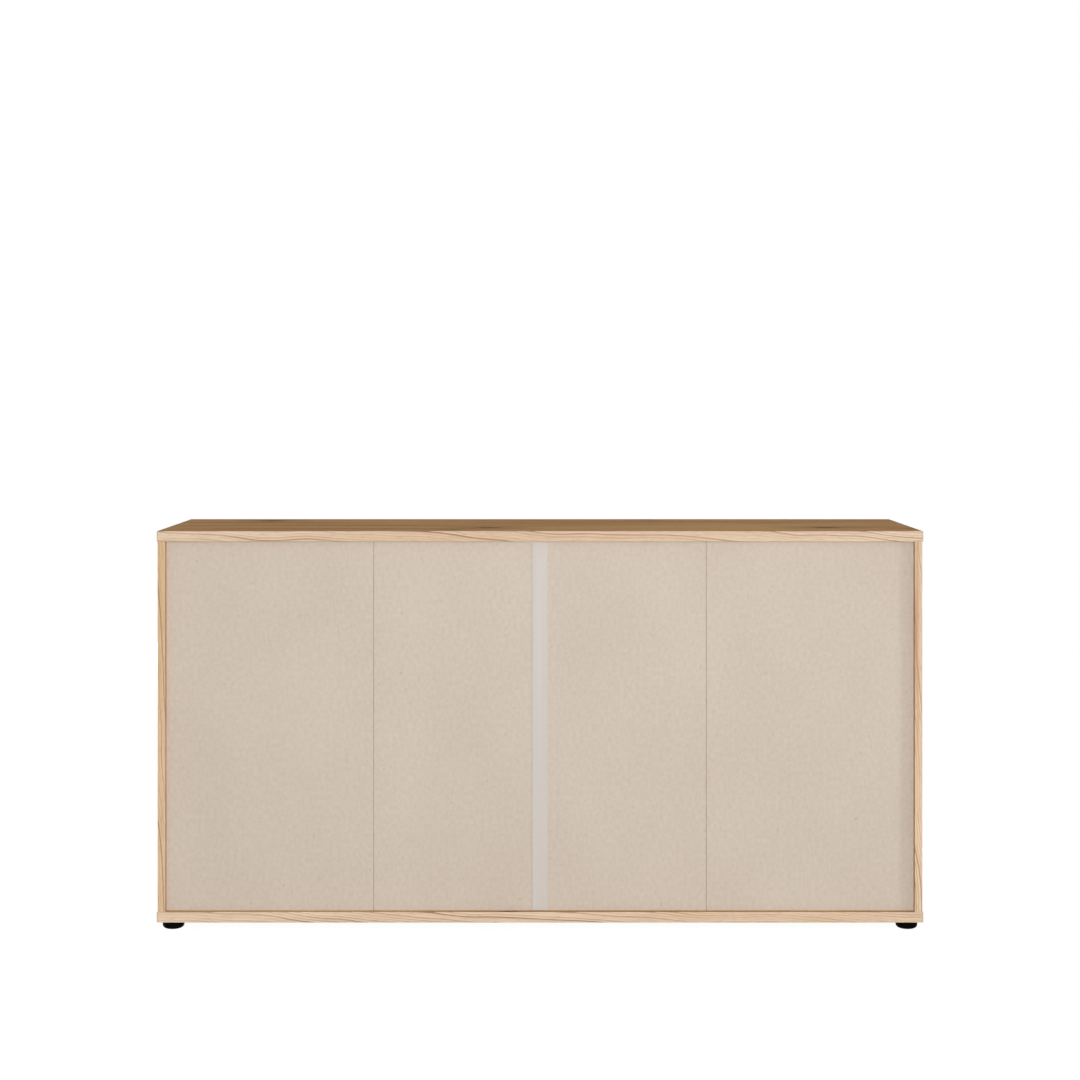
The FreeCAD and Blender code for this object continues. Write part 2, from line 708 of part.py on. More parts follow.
# Drawers on ball runners
cabinet_rails = []
for step, level in enumerate(DRAWERS):
    owner = f"{level}_drawer"
    low_z = f"(front_low_z + {step} * (drawer_height + front_gap))"
    box_z = f"({low_z} + box_lift)"
    base_z = f"({box_z} + base_rise)"
    front = slab(
        f"{owner}_front_blank",
        ("-drawer_half", "drawer_half"),
        ("face_y", "face_back_y"),
        (low_z, f"{low_z} + drawer_height"),
    )
    holes = handle(owner, "0", f"({low_z} + drawer_height / 2)", False)
    node(f"{owner}_front", without(f"{owner}_front_cut", front, holes))
    box_y = ("face_back_y", "box_rear_y")
    side_boards = []
    for side in SIDES:
        board_x = mirror(side, ("box_in", "box_out"))
        board = slab(f"{owner}_{side}_blank", board_x, box_y, (box_z, f"{box_z} + box_height"))
        slot = slab(
            f"{owner}_{side}_slot",
            mirror(side, ("box_in - overrun", "box_in + base_groove")),
            ("face_back_y - overrun", "box_rear_y + overrun"),
            (f"{base_z} - base_clear", f"{base_z} + base_thick + base_clear"),
        )
        side_boards.append(without(f"{owner}_{side}_board", board, [slot]))
    node(f"{owner}_sides", side_boards)
    back_z = (f"{base_z} + base_thick + base_clear", f"{box_z} + box_height")
    back_y = ("box_rear_y - box_board", "box_rear_y")
    node(f"{owner}_back", slab(f"{owner}_back_board", ("-box_in", "box_in"), back_y, back_z))
    base_x = ("-(box_in + base_groove - base_clear)", "box_in + base_groove - base_clear")
    node(f"{owner}_base", slab(f"{owner}_base_sheet", base_x, box_y, (base_z, f"{base_z} + base_thick")))

    runner_y = ("runner_front_y", "runner_rear_y")
    cage_y = ("cage_front_y", "cage_front_y + cage_length")
    runner_z = f"({box_z} + runner_rise)"
    drawer_rails = []
    cages = []
    for side in SIDES:
        tag = f"{owner}_{side}"
        inward = "right" if side == "left" else "left"
        cabinet_rail = channel(
            f"{tag}_cabinet_rail", at_side(side, "divider_in"), inward, runner_y, runner_z,
            "cabinet_rail_depth", "cabinet_rail_height", "rail_wall",
        )
        cabinet_rails.append(cabinet_rail)
        drawer_rail = channel(
            f"{tag}_drawer_rail", at_side(side, "box_out"), side, runner_y, runner_z,
            "drawer_rail_depth", "drawer_rail_height", "rail_wall",
        )
        drawer_rails.append(drawer_rail)
        strip = channel(
            f"{tag}_cage_strip", at_side(side, "divider_in - rail_wall - cage_gap"), inward, cage_y, runner_z,
            "cage_depth", "cage_height", "cage_wall",
        )
        windows = []
        for ball_step in BALL_STEPS:
            ball_y = f"cage_front_y + cage_length / 2 + ({ball_step}) * ball_pitch"
            ball_at = at_side(side, "ball_x")
            window_z = (f"{runner_z} - cage_height", f"{runner_z} + cage_height")
            window_at = (ball_at, ball_y)
            windows.append(rod(f"{tag}_window", "z", window_at, window_z, "ball_radius + cage_ball_clear"))
            for sign in ("-", "+"):
                ball_z = f"{runner_z} {sign} ball_offset"
                cages.append(ball(f"{tag}_ball", ball_at, ball_y, ball_z, "ball_radius"))
        cages.append(without(f"{tag}_cage", strip, windows))
    node(f"{owner}_rails", drawer_rails)
    node(f"{owner}_ball_cages", cages)
node("cabinet_rails", cabinet_rails)

# Work the model out, look for failures, and only then write each sub-part
doc.recompute()
failed = [item.Label for item in doc.Objects if {"Invalid", "Error"} & set(item.State)]
if failed:
    raise RuntimeError(f"failed objects: {failed}")
for item in nodes:
    if item.Shape.isNull() or not item.Shape.isValid():
        raise RuntimeError(f"bad shape: {item.Label}")

os.makedirs("parts", exist_ok=True)
for item in nodes:
    item.Shape.exportStep(os.path.join("parts", f"{item.Label}.step"))
    print(item.Label, len(item.Shape.Solids), round(item.Shape.Volume))
print(len(nodes), "nodes")
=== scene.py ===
"""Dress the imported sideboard: finishes, softened edges, floor, light and the photograph's view.

Every length is in metres, in the cabinet's own frame: the front faces -Y, the back +Y, and +Z is up.
"""
import logging
import math
from abc import ABC, abstractmethod
from collections.abc import Callable, Sequence
from dataclasses import dataclass, replace
from enum import Enum, IntEnum, StrEnum

import bmesh
import bpy
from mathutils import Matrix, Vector


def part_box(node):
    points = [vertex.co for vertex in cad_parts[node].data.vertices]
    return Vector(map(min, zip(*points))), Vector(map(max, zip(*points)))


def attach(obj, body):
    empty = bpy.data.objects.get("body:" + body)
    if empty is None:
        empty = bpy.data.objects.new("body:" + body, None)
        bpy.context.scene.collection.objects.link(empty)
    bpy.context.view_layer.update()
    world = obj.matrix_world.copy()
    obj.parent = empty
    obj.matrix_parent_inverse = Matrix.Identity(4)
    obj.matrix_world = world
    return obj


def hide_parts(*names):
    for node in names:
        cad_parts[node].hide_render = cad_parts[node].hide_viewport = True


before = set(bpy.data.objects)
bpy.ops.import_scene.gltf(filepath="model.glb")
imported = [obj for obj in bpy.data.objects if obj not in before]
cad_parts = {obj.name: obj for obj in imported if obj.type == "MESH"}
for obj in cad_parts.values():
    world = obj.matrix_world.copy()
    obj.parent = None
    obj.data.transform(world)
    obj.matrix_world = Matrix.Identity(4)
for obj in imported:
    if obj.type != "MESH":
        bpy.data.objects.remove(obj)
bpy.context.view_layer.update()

log = logging.getLogger("sideboard")

Color = tuple[float, float, float]
Opaque = tuple[float, float, float, float]
Triple = tuple[float, float, float]
Material = bpy.types.Material
Socket = bpy.types.NodeSocket
Source = Socket | float | Sequence[float]
Mesh = bmesh.types.BMesh
Edge = bmesh.types.BMEdge
EdgeTest = Callable[[Vector, Vector], bool]

SAME_PLACE = 1e-5

# The curve between a screen's levels and linear light
SCREEN_LEVELS = 255
SCREEN_FOOT = 0.04045
SCREEN_FOOT_SLOPE = 12.92
SCREEN_OFFSET = 0.055
SCREEN_POWER = 2.4


class Side(StrEnum):
    """An end of the cabinet, named as seen from the front."""

    LEFT = "left"
    RIGHT = "right"


class PanelEdge(StrEnum):
    """An edge of the top or bottom panel, named as seen from the front."""

    LEFT = "left"
    RIGHT = "right"
    FRONT = "front"
    REAR = "rear"


class Level(StrEnum):
    """A drawer's place in the stack."""

    BOTTOM = "bottom"
    MIDDLE = "middle"
    TOP = "top"


class Axis(IntEnum):
    """An axis of the cabinet's frame, as an index into a point."""

    X = 0
    Y = 1
    Z = 2


class Grain(Enum):
    """How a board lies: the axes along its grain, across its face and into its face."""

    LYING = (Axis.X, Axis.Y, Axis.Z)
    LEVEL_BEHIND = (Axis.X, Axis.Z, Axis.Y)
    UPRIGHT_BEHIND = (Axis.Z, Axis.X, Axis.Y)
    UPRIGHT_ASIDE = (Axis.Z, Axis.Y, Axis.X)
    LEVEL_ASIDE = (Axis.Y, Axis.Z, Axis.X)


class BoardFace(IntEnum):
    """What a board's polygon belongs to, as the index of its finish."""

    FACE = 0
    BAND = 1
    END = 2


class HandleFace(IntEnum):
    """What a handle's polygon belongs to, as the index of its finish."""

    FLAT = 0
    # Rounded edges, in a painted highlight colour.
    HIGHLIGHT_EDGE = 1


class BandFace(IntEnum):
    """What an edge band's polygon belongs to, as the index of its finish."""

    DECOR = 0
    CORE = 1


@dataclass(frozen=True)
class Clouds:
    """A cloudy noise: its clouds per metre along each axis, its finer layers and their strength."""

    per_metre: Triple
    detail: float = 2.0
    rough: float = 0.5


@dataclass(frozen=True)
class Span:
    """A smooth step: the range that goes in and the range that comes out."""

    low: float
    high: float
    to_low: float = 0.0
    to_high: float = 1.0


def even(count: float) -> Triple:
    """The same count along every axis."""
    return count, count, count


def grey(level: float) -> Opaque:
    """An opaque grey in linear light."""
    return level, level, level, 1.0


def linear(color: Color) -> Opaque:
    """Turn an 8-bit screen colour into the linear one that shaders take.

    Args:
        color: Red, green and blue from 0 to 255, as seen on a screen.

    Returns:
        The linear colour, opaque.
    """
    def channel(level: float) -> float:
        """One channel, from 0 to 1."""
        if level <= SCREEN_FOOT:
            return level / SCREEN_FOOT_SLOPE
        return ((level + SCREEN_OFFSET) / (1 + SCREEN_OFFSET)) ** SCREEN_POWER

    red, green, blue = (channel(level / SCREEN_LEVELS) for level in color)
    return red, green, blue, 1.0


# Node trees


class Graph:
    """A node tree, with short calls for the nodes that the finishes and the studio use."""

    def __init__(self, tree: bpy.types.NodeTree) -> None:
        """Work on a node tree."""
        self.tree = tree

    def node(self, kind: str, *sources: Source, **settings: object) -> bpy.types.Node:
        """Add a node, set its options and feed its first inputs.

        Args:
            kind: The node's type.
            *sources: What its first inputs get, in order.
            **settings: Its options.

        Returns:
            The node.
        """
        made = self.tree.nodes.new(kind)
        for key, setting in settings.items():
            setattr(made, key, setting)
        for socket, source in zip(made.inputs, sources):
            self.feed(socket, source)
        return made

    def feed(self, socket: Socket, source: Source) -> None:
        """Link an input to an output, or set it to a value.

        Args:
            socket: The input.
            source: The output or the value.
        """
        if isinstance(source, bpy.types.NodeSocket):
            self.tree.links.new(source, socket)
        else:
            socket.default_value = source

    def math(self, operation: str, *sources: Source) -> Socket:
        """One step of arithmetic."""
        return self.node("ShaderNodeMath", *sources, operation=operation).outputs[0]

    def vector_math(self, operation: str, *sources: Source) -> Socket:
        """One step of vector arithmetic."""
        made = self.node("ShaderNodeVectorMath", *sources, operation=operation)
        return made.outputs["Value" if operation == "LENGTH" else "Vector"]

    def squared(self, value: Socket) -> Socket:
        """A value times itself."""
        return self.math("POWER", value, 2.0)

    def place(self) -> Socket:
        """The point on the piece, in the cabinet's frame."""
        return self.node("ShaderNodeTexCoord").outputs["Object"]

    def split(self, vector: Socket) -> list[Socket]:
        """A vector's three numbers."""
        return list(self.node("ShaderNodeSeparateXYZ", vector).outputs)

    def join(self, numbers: Sequence[Source]) -> Socket:
        """A vector of three numbers."""
        return self.node("ShaderNodeCombineXYZ", *numbers).outputs[0]

    def along_grain(self, grain: Grain, shift: Triple) -> Socket:
        """The point on the piece, turned so that its first number runs along the grain.

        Args:
            grain: How the board's grain lies.
            shift: How far into the pattern this board starts.

        Returns:
            The turned and shifted point.
        """
        numbers = self.split(self.place())
        turned = [self.math("ADD", numbers[axis], step) for axis, step in zip(grain.value, shift)]
        return self.join(turned)

    def noise(self, vector: Socket, clouds: Clouds) -> Socket:
        """Cloudy noise from 0 to 1.

        Args:
            vector: Where to look the noise up.
            clouds: The kind of noise.

        Returns:
            The noise.
        """
        made = self.node("ShaderNodeTexNoise", self.vector_math("MULTIPLY", vector, clouds.per_metre))
        self.feed(made.inputs["Scale"], 1.0)
        self.feed(made.inputs["Detail"], clouds.detail)
        self.feed(made.inputs["Roughness"], clouds.rough)
        return made.outputs[0]

    def spread(self, value: Socket, span: Span) -> Socket:
        """Move a value smoothly from one range to another, without leaving the second."""
        numbers = (value, span.low, span.high, span.to_low, span.to_high)
        return self.node("ShaderNodeMapRange", *numbers, interpolation_type="SMOOTHSTEP").outputs[0]

    def patches(self, vector: Socket, clouds: Clouds, span: Span) -> Socket:
        """Cloudy noise, moved to another range."""
        return self.spread(self.noise(vector, clouds), span)

    def cells(self, vector: Socket, per_metre: Triple) -> tuple[Socket, Socket]:
        """Scattered spots on a face, a number of them per metre.

        Args:
            vector: Where to look, along and across the face.
            per_metre: Spots per metre along each axis.

        Returns:
            How far the nearest spot is, and a number from 0 to 1 that belongs to it.
        """
        scaled = self.vector_math("MULTIPLY", vector, per_metre)
        made = self.node("ShaderNodeTexVoronoi", scaled, voronoi_dimensions="2D")
        self.feed(made.inputs["Scale"], 1.0)
        return made.outputs["Distance"], self.split(made.outputs["Color"])[0]

    def apart(self, vector: Socket, centre: Triple, per_metre: Triple) -> Socket:
        """How far a point lies from a centre, with what a metre counts along each axis."""
        away = self.vector_math("SUBTRACT", vector, centre)
        return self.vector_math("LENGTH", self.vector_math("MULTIPLY", away, per_metre))

    def per_band(self, band: Socket) -> Socket:
        """Draw a number for each band.

        Args:
            band: The band, as a whole number.

        Returns:
            A number from 0 to 1, the same all over the band.
        """
        made = self.node("ShaderNodeTexWhiteNoise", noise_dimensions="1D")
        self.feed(made.inputs["W"], band)
        return made.outputs["Value"]

    def ramp(self, value: Socket, stops: Sequence[tuple[float, float]]) -> Socket:
        """Turn a value into a grey level through a few stops.

        Args:
            value: The value, from 0 to 1.
            stops: Each stop's place and its grey level, from 0 to 1.

        Returns:
            The grey level.
        """
        made = self.node("ShaderNodeValToRGB", value)
        elements = made.color_ramp.elements
        for spot, _ in stops[1:-1]:
            elements.new(spot)
        for element, (spot, level) in zip(elements, stops):
            element.position = spot
            element.color = grey(level)
        return made.outputs[0]

    def mix(self, share: Source, first: Source, second: Source) -> Socket:
        """Blend two colours.

        Args:
            share: How much of the second colour shows, from 0 to 1.
            first: The colour underneath.
            second: The colour on top.

        Returns:
            The blended colour.
        """
        made = self.node("ShaderNodeMix", share, data_type="RGBA")
        under, over = (socket for socket in made.inputs if socket.type == "RGBA")
        self.feed(under, first)
        self.feed(over, second)
        return next(socket for socket in made.outputs if socket.type == "RGBA")

    def seen_directly(self) -> Socket:
        """Tell the rays that see a surface from those that only carry its light.

        Returns:
            1 for camera, glossy and transmission rays, and 0 for the rest.
        """
        path = self.node("ShaderNodeLightPath")
        found = path.outputs["Is Camera Ray"]
        for name in ("Is Glossy Ray", "Is Transmission Ray"):
            found = self.math("MAXIMUM", found, path.outputs[name])
        return found


class SurfaceGraph(Graph):
    """The node tree of a material."""

    def __init__(self, name: str) -> None:
        """Start a material with its usual shader.

        Args:
            name: The material's name.
        """
        self.material = bpy.data.materials.new(name)
        self.material.use_nodes = True
        super().__init__(self.material.node_tree)
        self.shader = self.tree.nodes["Principled BSDF"]

    def bump(self, height: Socket, depth: float) -> None:
        """Raise and lower the surface a little.

        Args:
            height: The relief, from 0 to 1.
            depth: How deep the relief is.
        """
        made = self.node("ShaderNodeBump")
        self.feed(made.inputs["Strength"], 1.0)
        self.feed(made.inputs["Distance"], depth)
        self.feed(made.inputs["Height"], height)
        self.feed(self.shader.inputs["Normal"], made.outputs[0])

    def finish(self, color: Source, roughness: Source, **fixed: float) -> Material:
        """Feed the shader and hand the material over.

        Args:
            color: The surface colour.
            roughness: The surface roughness.
            **fixed: Further shader inputs that are the same all over, spaces written as underscores.

        Returns:
            The material.
        """
        self.feed(self.shader.inputs["Base Color"], color)
        self.feed(self.shader.inputs["Roughness"], roughness)
        for name, setting in fixed.items():
            self.feed(self.shader.inputs[name.replace("_", " ")], setting)
        return self.material


# Oak decor


@dataclass(frozen=True)
class OakTones:
    """The colours of a printed oak pattern, as seen on a screen."""

    pale: Color
    mid: Color
    dark: Color
    streak: Color


# Face oak, darker than the band oak: partly a deeper oak print, partly painted shade, as for faces lit at
# a grazing angle.
FACE_TONES = OakTones(
    pale=(218, 175, 124), mid=(187, 142, 91), dark=(141, 98, 56), streak=(108, 73, 42),
)
# The top's oak, a darker copy of the face oak: painted shade, for a top that gets less light than the
# rest.
SHADED_TOP_TONES = OakTones(
    pale=(216, 169, 113), mid=(185, 137, 83), dark=(140, 94, 51), streak=(104, 68, 36),
)
LEVEL_BAND_TONES = OakTones(
    pale=(240, 215, 189), mid=(224, 195, 166), dark=(170, 131, 97), streak=(138, 99, 66),
)
# The bottom panel's bands, a paler copy of the level band oak: painted light, making up for the light
# they lack.
LIT_LOW_BAND_TONES = OakTones(
    pale=(245, 220, 194), mid=(230, 201, 171), dark=(178, 139, 104), streak=(146, 107, 73),
)
# Upright band oak, a little more saturated than the level bands; the paler left copy and the darker right
# copy are painted light and shade.
SIDE_LIT_UPRIGHT_BAND_TONES = {
    Side.LEFT: OakTones(
        pale=(250, 226, 198), mid=(236, 207, 176), dark=(184, 144, 106), streak=(150, 110, 76),
    ),
    Side.RIGHT: OakTones(
        pale=(238, 208, 174), mid=(221, 187, 149), dark=(166, 125, 86), streak=(136, 96, 60),
    ),
}


@dataclass(frozen=True)
class Cut:
    """How the pattern was sawn: where the heart lies from the board's middle, and how the rings run."""

    heart_across: float
    heart_depth: float
    ring_pitch: float
    ring_taper: float
    sway: float
    sways_per_metre: float
    ring_share: float
    knot_swell: float = 0.0
    streak_share: float = 0.50


FACE_CUT = Cut(
    heart_across=0.02, heart_depth=0.075, ring_pitch=0.0060, ring_taper=0.020,
    sway=0.050, sways_per_metre=0.9, ring_share=0.62, knot_swell=0.045,
)
TOP_CUT = replace(FACE_CUT, streak_share=0.74)
BAND_CUT = Cut(
    heart_across=0.060, heart_depth=0.070, ring_pitch=0.0044, ring_taper=-0.055,
    sway=0.060, sways_per_metre=2.8, ring_share=1.0,
)


@dataclass(frozen=True)
class Knot:
    """A large knot, by its place along and across the grain in the cabinet's frame."""

    along: float
    across: float
    per_metre: Triple = (1.3, 2.7, 0.0)

    def away(self, graph: Graph, spot: Socket, shift: Triple) -> Socket:
        """How far a point on the board lies from the knot."""
        centre = (self.along + shift[0], self.across + shift[1], 0.0)
        return graph.apart(spot, centre, self.per_metre)


TOP_KNOTS = (Knot(0.113, 0.106), Knot(-0.612, 0.104), Knot(0.608, -0.123))


@dataclass(frozen=True)
class KnotLook:
    """How knots look: how many grow, how far they press the wood's rings aside, their rings and core."""

    per_metre: Triple = (1.7, 5.5, 0.0)
    grown: Span = Span(0.58, 0.59)
    reach: float = 0.45
    outline: Clouds = Clouds((14.0, 60.0, 60.0))
    outline_sway: float = 0.05
    ring_turns: float = 420.0
    ring_clouds: Clouds = Clouds((22.0, 110.0, 110.0))
    ring_sway: float = 9.0
    ring_share: Span = Span(-1.0, 1.0, 0.72, 1.0)
    halo: Span = Span(0.05, 0.20, 0.46, 0.0)
    core: Span = Span(0.042, 0.078, 0.94, 0.0)
    core_color: Color = (80, 52, 30)

    def distance(self, graph: Graph, spot: Socket, large: Sequence[Knot], shift: Triple) -> Socket:
        """Measure how far the nearest knot is.

        Args:
            graph: The material's node tree.
            spot: The point on the board, turned along the grain.
            large: The board's large knots, besides the scattered ones.
            shift: How far into the pattern this board starts.

        Returns:
            The distance, with an uneven outline.
        """
        near, lot = graph.cells(spot, self.per_metre)
        near = graph.math("ADD", near, graph.math("SUBTRACT", 1.0, graph.spread(lot, self.grown)))
        for knot in large:
            near = graph.math("MINIMUM", near, knot.away(graph, spot, shift))
        return graph.math("MULTIPLY_ADD", graph.noise(spot, self.outline), self.outline_sway, near)

    def bulge(self, graph: Graph, near: Socket) -> Socket:
        """How far the board's rings are pressed aside, from 0 to 1."""
        slope = graph.math("MULTIPLY_ADD", near, -1.0 / self.reach, 1.0)
        return graph.squared(graph.math("MAXIMUM", slope, 0.0))

    def paint(self, graph: Graph, spot: Socket, near: Socket, color: Socket, halo_color: Color) -> Socket:
        """Paint the knots over the wood.

        Args:
            graph: The material's node tree.
            spot: The point on the board, turned along the grain.
            near: How far the nearest knot is.
            color: The wood's colour.
            halo_color: The colour round the core.

        Returns:
            The wood's colour with its knots.
        """
        uneven = graph.math("MULTIPLY", graph.noise(spot, self.ring_clouds), self.ring_sway)
        waves = graph.math("SINE", graph.math("MULTIPLY_ADD", near, self.ring_turns, uneven))
        ringlets = graph.spread(waves, self.ring_share)
        for span, tone in ((self.halo, halo_color), (self.core, self.core_color)):
            share = graph.math("MULTIPLY", ringlets, graph.spread(near, span))
            color = graph.mix(share, color, linear(tone))
        return color


@dataclass(frozen=True)
class OakDecor:
    """Oak decor: growth rings cut lengthwise, streaks, fibres, pores, knots, and slow changes of tone."""

    name: str
    grain: Grain
    tones: OakTones
    cut: Cut
    shift: Triple
    knots: tuple[Knot, ...] = ()
    knot_look: KnotLook = KnotLook()
    gloss: float = 0.02
    roughness: Span = Span(0.2, 0.8, 0.58, 0.70)

    sways_across: float = 5.0
    ripples: Clouds = Clouds((6.0, 42.0, 42.0), detail=3.0)
    ripple: float = 0.0045
    season: tuple[tuple[float, float], ...] = (
        (0.0, 0.0), (0.45, 0.15), (0.82, 0.75), (0.94, 1.0), (1.0, 0.05),
    )
    ring_patches: Clouds = Clouds((2.5, 30.0, 30.0))
    ring_patch_span: Span = Span(0.3, 0.7, 0.35, 1.0)
    late_wood: Span = Span(0.0, 1.0, 0.25, 1.0)
    bold_rings: Span = Span(0.72, 1.0, 0.0, 0.85)

    tone_clouds: Clouds = Clouds((0.9, 13.0, 13.0), detail=3.0)
    tone_span: Span = Span(0.3, 0.7)
    streaks: Clouds = Clouds((0.7, 22.0, 22.0), detail=1.0)
    streak_low: float = 0.58
    streak_high: float = 0.72
    lines: Clouds = Clouds((3.0, 210.0, 210.0), detail=3.0)
    line_span: Span = Span(0.34, 0.62, 0.25, 1.0)

    fibres: Clouds = Clouds((14.0, 620.0, 620.0))
    fibre_span: Span = Span(0.35, 0.75, 0.0, 0.22)
    pores: Clouds = Clouds((48.0, 950.0, 950.0), detail=1.0)
    pore_span: Span = Span(0.60, 0.70)
    pore_share: float = 0.28
    pore_depth: float = 0.00010

    def make(self) -> Material:
        """Build the material.

        Returns:
            The material.
        """
        graph = SurfaceGraph(self.name)
        spot = graph.along_grain(self.grain, self.shift)
        near: Socket | None = None
        if self.cut.knot_swell:
            near = self.knot_look.distance(graph, spot, self.knots, self.shift)
        color = self.ringed(graph, spot, self.rings(graph, spot, near))
        color = self.streaked(graph, spot, color)
        fibres = graph.noise(spot, self.fibres)
        color = graph.mix(graph.spread(fibres, self.fibre_span), color, linear(self.tones.dark))
        pores = graph.patches(spot, self.pores, self.pore_span)
        pore_share = graph.math("MULTIPLY", pores, self.pore_share)
        color = graph.mix(pore_share, color, linear(self.tones.streak))
        if near is not None:
            color = self.knot_look.paint(graph, spot, near, color, self.tones.dark)
        graph.bump(graph.math("SUBTRACT", fibres, pores), self.pore_depth)
        return graph.finish(color, graph.spread(fibres, self.roughness), Specular_IOR_Level=self.gloss)

    def rings(self, graph: Graph, spot: Socket, near: Socket | None) -> Socket:
        """Count the growth rings out from the heart, with slow sways and small ripples.

        Args:
            graph: The material's node tree.
            spot: The point on the board, turned along the grain.
            near: How far the nearest knot is, on a board that has knots.

        Returns:
            The ring count, with its fraction.
        """
        along, across, deep = graph.split(spot)
        sways = Clouds((self.cut.sways_per_metre, self.sways_across, self.sways_across))
        swayed = graph.math("MULTIPLY_ADD", graph.noise(spot, sways), self.cut.sway, across)
        squares = graph.math("ADD", graph.squared(swayed), graph.squared(deep))
        radius = graph.math("MULTIPLY_ADD", along, self.cut.ring_taper, graph.math("SQRT", squares))
        radius = graph.math("MULTIPLY_ADD", graph.noise(spot, self.ripples), self.ripple, radius)
        if near is not None:
            bulge = self.knot_look.bulge(graph, near)
            radius = graph.math("MULTIPLY_ADD", bulge, self.cut.knot_swell, radius)
        return graph.math("DIVIDE", radius, self.cut.ring_pitch)

    def ringed(self, graph: Graph, spot: Socket, rings: Socket) -> Socket:
        """Colour the wood by its slow changes of tone and its rings, a few of them bold.

        Args:
            graph: The material's node tree.
            spot: The point on the board, turned along the grain.
            rings: The ring count, with its fraction.

        Returns:
            The colour.
        """
        season = graph.ramp(graph.math("FRACT", rings), self.season)
        patchy = graph.patches(spot, self.ring_patches, self.ring_patch_span)
        shown = graph.math("MULTIPLY", season, patchy)
        lot = graph.per_band(graph.math("FLOOR", rings))
        late_wood = graph.math("MULTIPLY", shown, graph.spread(lot, self.late_wood))
        bold = graph.math("MULTIPLY", shown, graph.spread(lot, self.bold_rings))
        tone = graph.patches(spot, self.tone_clouds, self.tone_span)
        color = graph.mix(tone, linear(self.tones.pale), linear(self.tones.mid))
        late_share = graph.math("MULTIPLY", late_wood, self.cut.ring_share)
        color = graph.mix(late_share, color, linear(self.tones.dark))
        return graph.mix(bold, color, linear(self.tones.streak))

    def streaked(self, graph: Graph, spot: Socket, color: Socket) -> Socket:
        """Lay long dark streaks of fine lines over the wood.

        Args:
            graph: The material's node tree.
            spot: The point on the board, turned along the grain.
            color: The wood's colour.

        Returns:
            The colour with its streaks.
        """
        span = Span(self.streak_low, self.streak_high, 0.0, self.cut.streak_share)
        streaks = graph.patches(spot, self.streaks, span)
        lines = graph.patches(spot, self.lines, self.line_span)
        return graph.mix(graph.math("MULTIPLY", streaks, lines), color, linear(self.tones.streak))


# The other finishes


@dataclass(frozen=True)
class Fibreboard:
    """Thin pressed fibreboard: a soft mottle, faint upright fibres and a few darker flecks."""

    name: str
    pale: Color = (217, 204, 190)
    dark: Color = (202, 187, 171)
    fleck: Color = (184, 165, 147)
    mottle: Clouds = Clouds((120.0, 120.0, 100.0), detail=6.0, rough=0.66)
    fibres: Clouds = Clouds((340.0, 340.0, 30.0), detail=3.0, rough=0.6)
    fibre_share: float = 0.30
    clouds: Clouds = Clouds((5.0, 5.0, 3.5), detail=3.0)
    cloud_share: float = 0.45
    tone: Span = Span(0.45, 1.30)
    flecks: Clouds = Clouds((210.0, 210.0, 90.0))
    fleck_span: Span = Span(0.68, 0.80, 0.0, 0.5)
    specks: Clouds = Clouds((105.0, 105.0, 85.0), detail=1.0)
    speck_span: Span = Span(0.70, 0.78, 0.0, 0.45)
    roughness: Span = Span(0.3, 0.7, 0.72, 0.88)
    relief: float = 0.00005
    gloss: float = 0.12

    def make(self) -> Material:
        """Build the material.

        Returns:
            The material.
        """
        graph = SurfaceGraph(self.name)
        spot = graph.place()
        mottle = graph.noise(spot, self.mottle)
        fibres = graph.noise(spot, self.fibres)
        tone = graph.math("MULTIPLY_ADD", fibres, self.fibre_share, mottle)
        tone = graph.math("MULTIPLY_ADD", graph.noise(spot, self.clouds), self.cloud_share, tone)
        color = graph.mix(graph.spread(tone, self.tone), linear(self.pale), linear(self.dark))
        for clouds, span in ((self.flecks, self.fleck_span), (self.specks, self.speck_span)):
            color = graph.mix(graph.patches(spot, clouds, span), color, linear(self.fleck))
        graph.bump(graph.math("ADD", mottle, fibres), self.relief)
        return graph.finish(color, graph.spread(mottle, self.roughness), Specular_IOR_Level=self.gloss)


@dataclass(frozen=True)
class Plastic:
    """Plastic with a fine skin texture and slow changes of tone."""

    name: str
    color: Color
    shade: Color
    clouds: Triple
    roughness: float
    gloss: float = 0.3
    detail: float = 3.0
    tone: Span = Span(0.3, 0.7, 0.0, 0.7)
    skin_per_metre: float = 900.0
    skin_depth: float = 0.00003
    skin_share: float = 0.3
    skin_low: float = 0.2
    skin_high: float = 0.8
    rough_play: float = 0.06

    def make(self) -> Material:
        """Build the material.

        Returns:
            The material.
        """
        graph = SurfaceGraph(self.name)
        spot = graph.place()
        skin = graph.noise(spot, Clouds(even(self.skin_per_metre), self.detail))
        tone = graph.patches(spot, Clouds(self.clouds, self.detail), self.tone)
        share = graph.math("MULTIPLY_ADD", skin, self.skin_share, tone)
        color = graph.mix(share, linear(self.color), linear(self.shade))
        smoothest = self.roughness - self.rough_play
        roughest = self.roughness + self.rough_play
        roughness = graph.spread(skin, Span(self.skin_low, self.skin_high, smoothest, roughest))
        graph.bump(skin, self.skin_depth)
        return graph.finish(color, roughness, Specular_IOR_Level=self.gloss)


